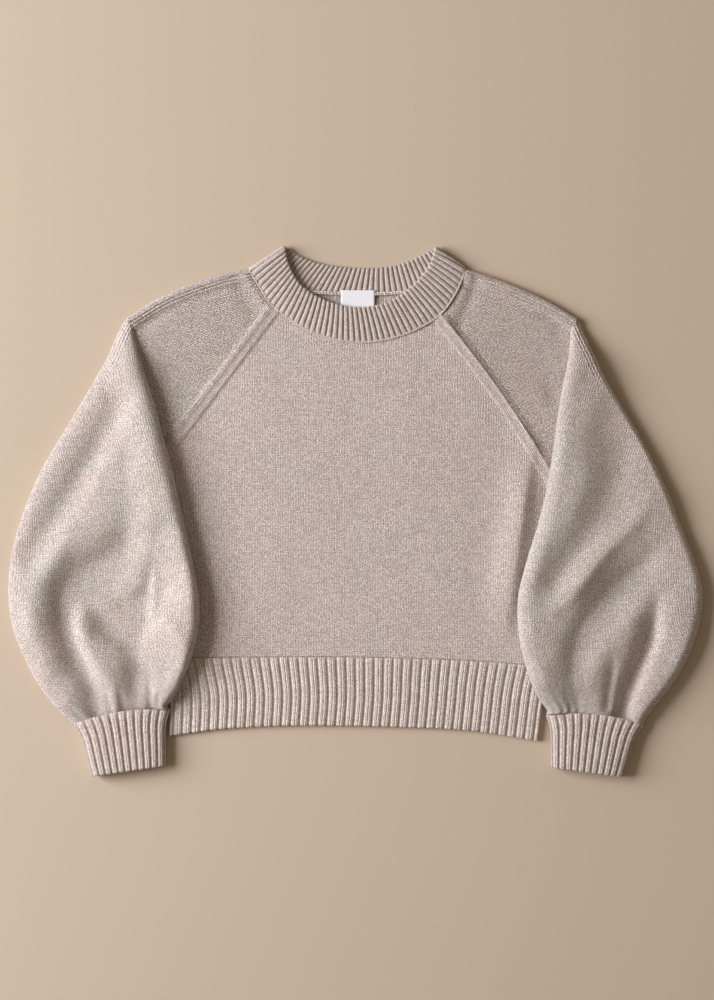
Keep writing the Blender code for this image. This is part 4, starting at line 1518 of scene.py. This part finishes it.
    def balloon(self) -> Wall:
        """The balloon, a closed toe at the shoulder and open at the cuff.

        Returns:
            The wall of the balloon.
        """
        places = np.linspace(0, len(self.sections) - 1, self.rings)
        outer, stitches = self.loops(0.0, places)
        inner, inner_stitches = self.loops(PATTERN.wall, places)
        inner, inner_stitches = (grid[self.solid_toe::4] for grid in (inner, inner_stitches))
        return Wall(outer, inner, stitches, inner_stitches, ring=True, tips=True)

    def layer(self, fold_line: Array, seam: Array, neck: Array, shares: Array) -> tuple[Array, Array]:
        """Plan of one layer of the cap, from its shoulder fold to a raglan seam, and the depths.

        The first row follows the neck seam; the bow dies away towards the shoulder's corner.

        Args:
            fold_line: points of the shoulder fold.
            seam: point of the seam on each row.
            neck: the row along the neck's seam.
            shares: place of each column from the fold to the seam.

        Returns:
            Plan points, rows by columns by two, and the distance of each from the fold.
        """
        radius = PATTERN.shoulder_radius
        reach = np.linalg.norm(seam - fold_line, axis=1)[:, None]
        depth = radius + (reach - PATTERN.seam_gap - radius) * shares[None, :]
        inwards = (seam - fold_line) / reach
        plan = fold_line[:, None] + inwards[:, None] * depth[..., None]
        at_neck = depth[0] / reach[0]
        bow = read_along(neck, at_neck) - (fold_line[0] + (seam[0] - fold_line[0]) * at_neck[:, None])
        fade = np.linspace(1, 0, len(seam))[:, None, None] ** 3
        return plan + fade * bow[None], depth

    def cap(self) -> Wall:
        """The cap: front layer, shoulder roll and back layer as one wall.

        Returns:
            The wall of the cap.
        """
        radius = PATTERN.shoulder_radius
        shares = np.linspace(0, 1, self.cap_rows)
        fold_line = curve(self.shoulder, shares)
        corner = PATTERN.back_corners()[self.neck_end]
        start, end = np.asarray(self.side.underarm), np.asarray(self.side.raglan_top)
        front_seam = self.side.raglan(1 - shares)
        back_seam = corner + (start - corner) * shares[:, None]
        even = np.linspace(0, 1, 80)
        front_neck = stretch_of(PATTERN.neck_seam_front, self.shoulder[0], self.side.raglan_top, even)
        back_neck = stretch_of(PATTERN.neck_seam_back, self.shoulder[0], tuple(corner), even)
        columns = smooth_step(np.linspace(1, 0, 151))[:-1]
        front, depth = self.layer(fold_line, front_seam, front_neck, columns)
        back, _ = self.layer(fold_line, back_seam, back_neck, np.linspace(0, 1, 14)[1:])
        inwards = front[:, -1] - fold_line
        inwards /= np.linalg.norm(inwards, axis=1)[:, None]
        angle = np.linspace(0, np.pi, 15)
        distance, place = PATTERN.seam_place(front, self.side)
        row_length = np.linalg.norm(end - start)
        from_neck = (shares * row_length)[:, None]
        x, y = front[..., 0], front[..., 1]
        relief = PATTERN.band_relief(distance, place, False) * smooth_step(from_neck / 0.004)
        relief = relief + self.edge_wales(depth) + creased(x, y, self.cap_folds)
        for place_of, (rise, middle, width) in ((depth, self.groove), (from_neck, self.neck_bulge),
                                                (from_neck, self.neck_dip)):
            relief = relief + rise * bell((place_of - middle) / width)
        soft = round_over(from_neck + 0.0003, PATTERN.edge_radius)
        soft = soft * (0.5 + 0.5 * round_over(distance, PATTERN.seam_radius))
        panel_top = PATTERN.panel_top
        top = panel_top + (2 * radius - panel_top) * bell((depth - radius) / self.roll_reach)
        top = top + relief - PATTERN.wall * 0.5 * (1 - soft)
        below = top - relief - PATTERN.wall * (0.5 + 0.5 * soft)
        grids = []
        for inset, front_height in ((0.0, top), (PATTERN.wall, below)):
            roll = radius - inset
            turned = fold_line[:, None] + inwards[:, None] * (radius - roll * np.sin(angle))[None, :, None]
            turned_height = (radius + roll * np.cos(angle))[None, :]
            layers = (raised(front, front_height), raised(turned, turned_height), raised(back, inset))
            grid = np.concatenate(layers, axis=1)
            away = grid[1, :, :2] - grid[0, :, :2]
            grid[0, :, :2] += away / np.linalg.norm(away, axis=1)[:, None] * PATTERN.seam_gap * 1.3
            grids.append(grid)
        arcs = np.linalg.norm(np.diff(grids[0], axis=1), axis=2)
        across = np.concatenate([np.zeros((self.cap_rows, 1)), np.cumsum(arcs, axis=1)], axis=1)
        across -= across[:, front.shape[1]][:, None]
        down = np.broadcast_to((lengths_along(fold_line) / PATTERN.course)[:, None], across.shape)
        stitches = np.stack([across / PATTERN.wale, -down], axis=2)
        chart = stitches.copy()
        chart[:, :front.shape[1]] = PATTERN.band_stitches(distance, place)
        inside = np.zeros(chart.shape[:2], bool)
        inside[:, :front.shape[1]] = distance < PATTERN.wale * 1.5
        mask = inside[:-1, :-1] & inside[1:, 1:]
        return Wall(grids[0], grids[1], stitches, patch=(mask, chart))

    def build(self) -> None:
        """Builds and dresses the cap and the balloon."""
        Piece(f"{self.name}_cap", (self.node,), "knit", ("front_body_panel",),
              cut=Cut(0.21, 0.23, 0.036)).show(self.cap(), self.cap_knit)
        Piece(f"{self.name}_balloon", (self.node,), "knit", (f"{self.name}_cap", "front_body_panel"),
              Hold.FOLDED, Cut(0.44, 0.47, 0.145)).show(
                  self.balloon(), self.knit)


@dataclass
class Cuff:
    """Ribbed tube lying flat at the end of a sleeve, open at both ends."""

    name: str
    node: str
    outer_seam: Point2
    inner_seam: Point2
    outer_end: Point2
    inner_end: Point2
    rib_knit: bpy.types.Material
    flare: tuple[float, float] = (0.0055, 0.0050)
    flare_run: float = 0.38
    seam_bow: float = 0.007
    height: float = 0.0165
    length: float = 0.058
    ribs: int = 12
    cells: int = 18
    under: int = 60
    rows: int = 26
    rib: Rib = Rib(0.0017, 0.24, 0.34)
    roundness: float = 0.7
    fade_run: float = 0.006
    edge_grade: float = 0.0024
    edge_radius: float = 0.0022
    scallop: float = 0.0006
    scallop_reach: float = 0.004

    def tube(self) -> Wall:
        """Flattened tube, a superellipse across, with ribs on the side that faces up.

        Columns are spread evenly along the arc, so that the ribs have one pitch.

        Returns:
            The wall of the cuff.
        """
        upper_columns = self.ribs * self.cells
        share = graded(self.rows, self.length, self.edge_grade)[:, None]
        over = np.linspace(0, np.pi, 800)
        place = 0.5 - 0.5 * np.sign(np.cos(over)) * np.abs(np.cos(over)) ** self.roundness
        half = self.height / 2
        width = float(np.hypot(*np.subtract(self.outer_seam, self.inner_seam)))
        profile = np.column_stack([place * width, half * np.sin(over) ** self.roundness])
        upper = read_along(profile, np.linspace(0, 1, upper_columns + 1))
        lower = read_along(profile, np.linspace(0, 1, self.under + 1))[::-1][1:-1]
        across = np.concatenate([upper[:, 0], lower[:, 0]])[None, :] / width
        lift = np.concatenate([upper[:, 1], -np.minimum(lower[:, 1] * 1.25, half)])[None, :]
        phase = np.concatenate([np.linspace(0, self.ribs, upper_columns + 1),
                                np.linspace(self.ribs, 2 * self.ribs, self.under + 1)[1:-1]])
        rise = np.where(np.arange(len(phase)) <= upper_columns, self.rib.height(phase + 0.5), 0.0)[None, :]
        from_seam, from_end = share * self.length, (1 - share) * self.length
        soft = round_over(np.minimum(from_end, from_seam + 0.0006), self.edge_radius)
        fade = 0.5 + 0.5 * smooth_step(from_seam / self.fade_run)
        corners = np.array([self.outer_seam, self.outer_end, self.inner_seam, self.inner_end])
        grids = []
        for inset, side in ((0.0, 1), (PATTERN.rib_wall, -1)):
            middle_inset = PATTERN.rib_wall / 2
            depth = middle_inset + (inset - middle_inset) * (0.2 + 0.8 * soft)
            pulled = 0.5 + (across - 0.5) * (1 - 2.2 * depth / width)
            spread = np.clip(1 - share / self.flare_run, 0, 1) ** 2
            outward = np.sign(self.outer_seam[0]) * np.array([[1.0, 0.0]])
            outer = corners[0] + (corners[1] - corners[0]) * share + outward * spread * self.flare[0]
            inner = corners[2] + (corners[3] - corners[2]) * share - outward * spread * self.flare[1]
            plan = outer[:, None] + (inner - outer)[:, None] * pulled[..., None]
            plan[..., 1] += self.seam_bow * (1 - share) * 4 * pulled * (1 - pulled)
            z = half + lift * (half - depth) / half
            if side > 0:
                z = z + rise * fade * soft * smooth_step(lift / 0.003)
                scallop = self.scallop * (1 - rise / self.rib.rise) * (lift > 0)
                plan[..., 1] += scallop * bell(from_end / self.scallop_reach)
            grids.append(raised(plan, z))
        wales = self.rib.wales(np.append(phase, 2 * self.ribs) + 0.5)[None, :]
        stitches = np.stack(np.broadcast_arrays(wales, -from_seam / PATTERN.course), axis=2)
        return Wall(grids[0], grids[1], stitches, ring=True)

    def build(self) -> None:
        """Builds and dresses the cuff."""
        cut = Cut(0.20, 0.058, 0.0116)
        Piece(self.name, (self.node,), "rib", cut=cut).show(self.tube(), self.rib_knit)


LEFT_SECTIONS = (
    Section(-0.2485, 0.2125, -0.2440, 0.2090, 0.0040),
    Section(-0.2538, 0.2090, -0.2445, 0.2070, 0.0070),
    Section(-0.2580, 0.2025, -0.2445, 0.2020, 0.0090),
    Section(-0.2650, 0.1880, -0.2425, 0.1885, 0.0112),
    Section(-0.2730, 0.1690, -0.2365, 0.1680, 0.0130),
    Section(-0.2850, 0.1480, -0.2300, 0.1460, 0.0140),
    Section(-0.3025, 0.1175, -0.2200, 0.1165, 0.0150),
    Section(-0.3210, 0.0870, -0.2123, 0.0860, 0.0160),
    Section(-0.3410, 0.0540, -0.2035, 0.0540, 0.0170),
    Section(-0.3575, 0.0190, -0.1953, 0.0190, 0.0180),
    Section(-0.3713, -0.0190, -0.1870, -0.0190, 0.0190),
    Section(-0.3795, -0.0560, -0.1788, -0.0560, 0.0200),
    Section(-0.3817, -0.0930, -0.1722, -0.0935, 0.0205),
    Section(-0.3773, -0.1265, -0.1727, -0.1285, 0.0210),
    Section(-0.3652, -0.1590, -0.1799, -0.1595, 0.0210),
    Section(-0.3498, -0.1890, -0.1914, -0.1880, 0.0200, 0.002),
    Section(-0.3322, -0.2130, -0.2000, -0.2050, 0.0200, 0.004),
    Section(-0.3168, -0.2280, -0.2068, -0.2140, 0.0195, 0.006),
    Section(-0.3110, -0.2345, -0.2035, -0.2180, 0.0185, 0.007),
)
RIGHT_SECTIONS = (
    Section(0.2400, 0.2125, 0.2355, 0.2090, 0.0040),
    Section(0.2444, 0.2090, 0.2358, 0.2070, 0.0070),
    Section(0.2478, 0.2025, 0.2358, 0.2020, 0.0090),
    Section(0.2540, 0.1880, 0.2353, 0.1885, 0.0112),
    Section(0.2630, 0.1690, 0.2328, 0.1680, 0.0130),
    Section(0.2728, 0.1480, 0.2288, 0.1460, 0.0140),
    Section(0.2904, 0.1185, 0.2228, 0.1165, 0.0150),
    Section(0.3090, 0.0880, 0.2184, 0.0860, 0.0160),
    Section(0.3267, 0.0550, 0.2140, 0.0540, 0.0170),
    Section(0.3438, 0.0190, 0.2079, 0.0190, 0.0180),
    Section(0.3586, -0.0190, 0.1980, -0.0190, 0.0190),
    Section(0.3729, -0.0560, 0.1865, -0.0560, 0.0200),
    Section(0.3810, -0.0915, 0.1777, -0.0935, 0.0205),
    Section(0.3768, -0.1265, 0.1777, -0.1285, 0.0210),
    Section(0.3652, -0.1595, 0.1832, -0.1595, 0.0210),
    Section(0.3471, -0.1910, 0.1920, -0.1890, 0.0200, 0.002),
    Section(0.3289, -0.2140, 0.2005, -0.2060, 0.0200, 0.004),
    Section(0.3180, -0.2290, 0.2095, -0.2185, 0.0195, 0.006),
    Section(0.3150, -0.2350, 0.2085, -0.2235, 0.0185, 0.007),
)

LEFT_FOLDS = (
    Crease(((-0.256, 0.118), (-0.275, 0.084), (-0.294, 0.048), (-0.314, 0.014), (-0.337, -0.022),
            (-0.354, -0.050)), -0.0082, 0.014, 0.016, 0.6, 0.7),
    Crease(((-0.290, -0.010), (-0.314, -0.032), (-0.334, -0.056), (-0.349, -0.080), (-0.355, -0.104),
            (-0.352, -0.130), (-0.338, -0.168), (-0.318, -0.200)), 0.0046, 0.013, 0.014, 0.2, 0.5),
    Crease(((-0.240, 0.004), (-0.2425, -0.012), (-0.2440, -0.030), (-0.2640, -0.054), (-0.2930, -0.076),
            (-0.3010, -0.098), (-0.3010, -0.112)), -0.0140, 0.040, 0.024, 0.25, 0.35),
    Crease(((-0.3110, -0.060), (-0.3190, -0.084), (-0.3210, -0.100), (-0.3195, -0.120), (-0.3145, -0.142),
            (-0.3050, -0.164), (-0.2920, -0.186), (-0.2850, -0.208), (-0.2830, -0.221)),
           -0.0140, 0.013, 0.013, 0.2, 0.55),
    Crease(((-0.296, -0.092), (-0.301, -0.110), (-0.302, -0.130), (-0.292, -0.154), (-0.278, -0.178),
            (-0.268, -0.202), (-0.264, -0.216)), 0.0030, 0.009, 0.010, 0.3, 0.9, 1.8),
    Crease(((-0.288, -0.102), (-0.2684, -0.120), (-0.2442, -0.142), (-0.2354, -0.164), (-0.2370, -0.186),
            (-0.2385, -0.208), (-0.239, -0.221)), -0.0185, 0.050, 0.019, 0.6, 0.35),
    Crease(((-0.262, -0.084), (-0.232, -0.100), (-0.204, -0.120), (-0.190, -0.142), (-0.187, -0.170)),
           0.0034, 0.009, 0.016, 0.4, 0.4, 1.8),
    Crease(((-0.214, -0.036), (-0.2155, -0.054), (-0.2205, -0.076), (-0.2300, -0.098), (-0.2450, -0.114),
            (-0.262, -0.124)), -0.0170, 0.030, 0.016, 0.3, 0.5),
    Crease(((-0.275, -0.186), (-0.271, -0.205), (-0.267, -0.221)), -0.0034, 0.004, 0.006, 0.2, 1.0),
    Crease(((-0.260, -0.196), (-0.257, -0.208), (-0.255, -0.221)), -0.0022, 0.004, 0.005, 0.2, 1.0),
    Crease(((-0.226, -0.184), (-0.225, -0.202), (-0.224, -0.221)), -0.0036, 0.004, 0.005, 0.3, 1.0),
    Crease(((-0.216, -0.196), (-0.217, -0.206), (-0.219, -0.221)), -0.0030, 0.004, 0.004, 0.3, 1.0),
)
RIGHT_FOLDS = (
    Crease(((0.264, 0.144), (0.274, 0.089), (0.279, 0.045), (0.276, 0.012), (0.262, -0.014),
            (0.245, -0.040), (0.229, -0.070), (0.211, -0.100)), -0.0048, 0.024, 0.022, 0.5, 0.9),
    Crease(((0.268, -0.010), (0.250, -0.034), (0.236, -0.054), (0.2205, -0.076), (0.210, -0.098),
            (0.206, -0.112)), -0.0052, 0.014, 0.016, 0.2, 0.3),
    Crease(((0.321, 0.012), (0.304, -0.015), (0.282, -0.036), (0.262, -0.060), (0.242, -0.085),
            (0.215, -0.111)), 0.0056, 0.009, 0.015, 0.4, 0.5, 1.8),
    Crease(((0.353, -0.028), (0.335, -0.042), (0.317, -0.057), (0.293, -0.075), (0.270, -0.096),
            (0.250, -0.122), (0.241, -0.144), (0.238, -0.166), (0.238, -0.188), (0.241, -0.210)),
           -0.0118, 0.030, 0.017, 0.2, 0.5, 1.5),
    Crease(((0.319, -0.098), (0.299, -0.120), (0.281, -0.142), (0.265, -0.164), (0.2585, -0.186),
            (0.2554, -0.208)), 0.0022, 0.018, 0.010, 0.2, 0.7, 1.8),
    Crease(((0.331, -0.100), (0.326, -0.122), (0.321, -0.144), (0.3125, -0.166), (0.3030, -0.188),
            (0.296, -0.208), (0.2930, -0.221)), -0.0195, 0.009, 0.0115, 0.25, 0.8, 1.6),
    Crease(((0.282, -0.160), (0.279, -0.186), (0.275, -0.215)), -0.0034, 0.004, 0.006, 0.2, 1.0),
    Crease(((0.361, -0.114), (0.356, -0.144), (0.343, -0.173), (0.323, -0.199), (0.312, -0.217)),
           0.0020, 0.012, 0.010, 0.4, 0.8),
)
LEFT_CAP_FOLDS = (
    Crease(((-0.200, 0.180), (-0.205, 0.140), (-0.212, 0.100)), -0.0010, 0.012, 0.012),
    Crease(((-0.210, 0.216), (-0.228, 0.206), (-0.236, 0.192)), -0.0016, 0.007, 0.007),
)
RIGHT_CAP_FOLDS = (
    Crease(((0.213, 0.144), (0.217, 0.128), (0.221, 0.111)), -0.0018, 0.008, 0.008),
    Crease(((0.202, 0.215), (0.219, 0.205), (0.226, 0.192)), -0.0016, 0.007, 0.007),
)


# ---------------------------------------------------------------- studio

@dataclass
class Studio:
    """Floor, camera straight above and soft light from the left."""

    middle: Point2 = (0.0011, 0.0121)
    field_height: float = 1.1
    distance: float = 4.0
    sensor: float = 0.036
    floor_size: float = 8.0
    floor_finish: FloorFinish = FloorFinish("backdrop_paper", (0.575, 0.462, 0.357))
    key_place: tuple[float, float, float] = (-3.15, 0.5, 1.84)
    key_size: tuple[float, float] = (2.3, 2.3)
    key_power: float = 224.0
    key_colour: Colour = (0.98, 1.0, 1.04)
    fill: float = 0.235
    fill_colour: Colour = (1.0, 0.84, 0.64)
    floor_drop: float = 0.0001

    def camera(self) -> None:
        """Camera looking straight down, its long side covering the field's height."""
        data = bpy.data.cameras.new("overhead")
        data.sensor_width = self.sensor * 1000
        data.lens = data.sensor_width * self.distance / self.field_height
        data.clip_end = 50.0
        camera = bpy.data.objects.new("overhead", data)
        camera.location = (*self.middle, self.distance)
        bpy.context.scene.collection.objects.link(camera)
        bpy.context.scene.camera = camera

    def light(self) -> None:
        """One large softbox at the left, and even light from all round."""
        data = bpy.data.lights.new("softbox", "AREA")
        data.shape = "RECTANGLE"
        data.size, data.size_y = self.key_size
        data.energy = self.key_power
        data.color = self.key_colour
        lamp = bpy.data.objects.new("softbox", data)
        lamp.location = self.key_place
        lamp.rotation_euler = (-Vector(self.key_place)).to_track_quat("-Z", "Y").to_euler()
        bpy.context.scene.collection.objects.link(lamp)
        world = bpy.data.worlds.new("studio")
        world.use_nodes = True
        background = world.node_tree.nodes["Background"]
        background.inputs["Color"].default_value = rgba(self.fill_colour)
        background.inputs["Strength"].default_value = self.fill
        bpy.context.scene.world = world
        bpy.context.scene.view_settings.view_transform = "Standard"

    def floor(self) -> None:
        """Flat sheet under the sweater, just below its underside."""
        half, low = self.floor_size / 2, -self.floor_drop
        corners = [(-half, -half, low), (half, -half, low), (half, half, low), (-half, half, low)]
        mesh = bpy.data.meshes.new("backdrop")
        mesh.from_pydata(corners, [], [(0, 1, 2, 3)])
        mesh.materials.append(self.floor_finish.material())
        item = bpy.data.objects.new("backdrop", mesh)
        bpy.context.scene.collection.objects.link(item)

    def build(self) -> None:
        """Sets up everything that isn't the sweater."""
        self.light()
        self.floor()


def clear_scene() -> None:
    """Removes what a new Blender file starts with."""
    for item in [o for o in bpy.data.objects if o.type in ("LIGHT", "CAMERA") or o.name == "Cube"]:
        bpy.data.objects.remove(item)


def main() -> None:
    """Builds the sweater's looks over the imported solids."""
    logging.basicConfig(level=logging.INFO, format="%(name)s: %(message)s")
    clear_scene()
    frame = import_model()
    log.info("%d solids to dress", len(frame["nodes"]))
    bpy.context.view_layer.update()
    studio = Studio()
    studio.camera()
    knit = KnitFinish("stocking_stitch_wool", (0.660, 0.534, 0.505), (0.646, 0.555, 0.514)).material()
    # Sleeve copy of the same wool: greyer and slightly darker yarn colours than the body's, set to how the
    # lit sleeves look, which is painted light; slant 0.8 is the stitch shape.
    sleeve_knit = KnitFinish("sleeve_wool_lit_copy", (0.626, 0.515, 0.477), (0.614, 0.556, 0.511),
                             slant=0.8).material()
    # Shoulder copy of the same wool: stronger painted shade in the stitch gaps for light grazing the caps,
    # and yarn colours brighter than the body's, set to how bright the caps look under the light.
    cap_knit = KnitFinish("shoulder_wool_painted_shade", (0.756, 0.618, 0.570), (0.738, 0.650, 0.592),
                          relief=0.0024, slant=1.0, shade=2.1, grain=5.6).material()
    # Ribbed wool: furrow=0.36 is painted shade darkening the furrows between the ribs.
    rib_knit = KnitFinish("ribbed_wool", (0.642, 0.519, 0.482), (0.632, 0.550, 0.500),
                          relief=0.0008, furrow=0.36, shade=0.6, grain=2.8).material()
    chain_knit = KnitFinish("linking_yarn", (0.60, 0.485, 0.44), (0.62, 0.54, 0.50), 0.0005).material()
    label_cloth = LabelFinish("white_label_tape").material()
    Body(knit).build()
    Hem(rib_knit, knit).build()
    Neck(rib_knit, chain_knit, label_cloth).build()
    Sleeve("left_sleeve", "sleeve_left", PATTERN.left,
           ((-0.1180, 0.2660), (-0.1560, 0.2580), (-0.2090, 0.2380), (-0.2520, 0.2120)),
           ((-0.2520, 0.2120), (-0.2440, 0.1600), (-0.2310, 0.1080), (-0.2170, 0.0620)),
           LEFT_SECTIONS, LEFT_FOLDS, LEFT_CAP_FOLDS, 0, sleeve_knit, cap_knit,
           soft_run=0.036, lift_margin=0.003).build()
    Sleeve("right_sleeve", "sleeve_right", PATTERN.right,
           ((0.1210, 0.2660), (0.1580, 0.2540), (0.2050, 0.2340), (0.2430, 0.2120)),
           ((0.2430, 0.2120), (0.2420, 0.1550), (0.2330, 0.0940), (0.2210, 0.0330)),
           RIGHT_SECTIONS, RIGHT_FOLDS, RIGHT_CAP_FOLDS, 1, sleeve_knit, cap_knit,
           outer_rims=(0.007, 0.012), inner_rims=(0.016, 0.018), outer_share=0.28, tilt=0.15).build()
    Cuff("left_cuff_rib", "cuff_left", (-0.3045, -0.2338), (-0.2090, -0.2188),
         (-0.2893, -0.2915), (-0.2090, -0.2794), rib_knit).build()
    Cuff("right_cuff_rib", "cuff_right", (0.3103, -0.2346), (0.2134, -0.2243),
         (0.2930, -0.2920), (0.2145, -0.2816), rib_knit).build()
    studio.build()


if __name__ == "__main__":
    main()
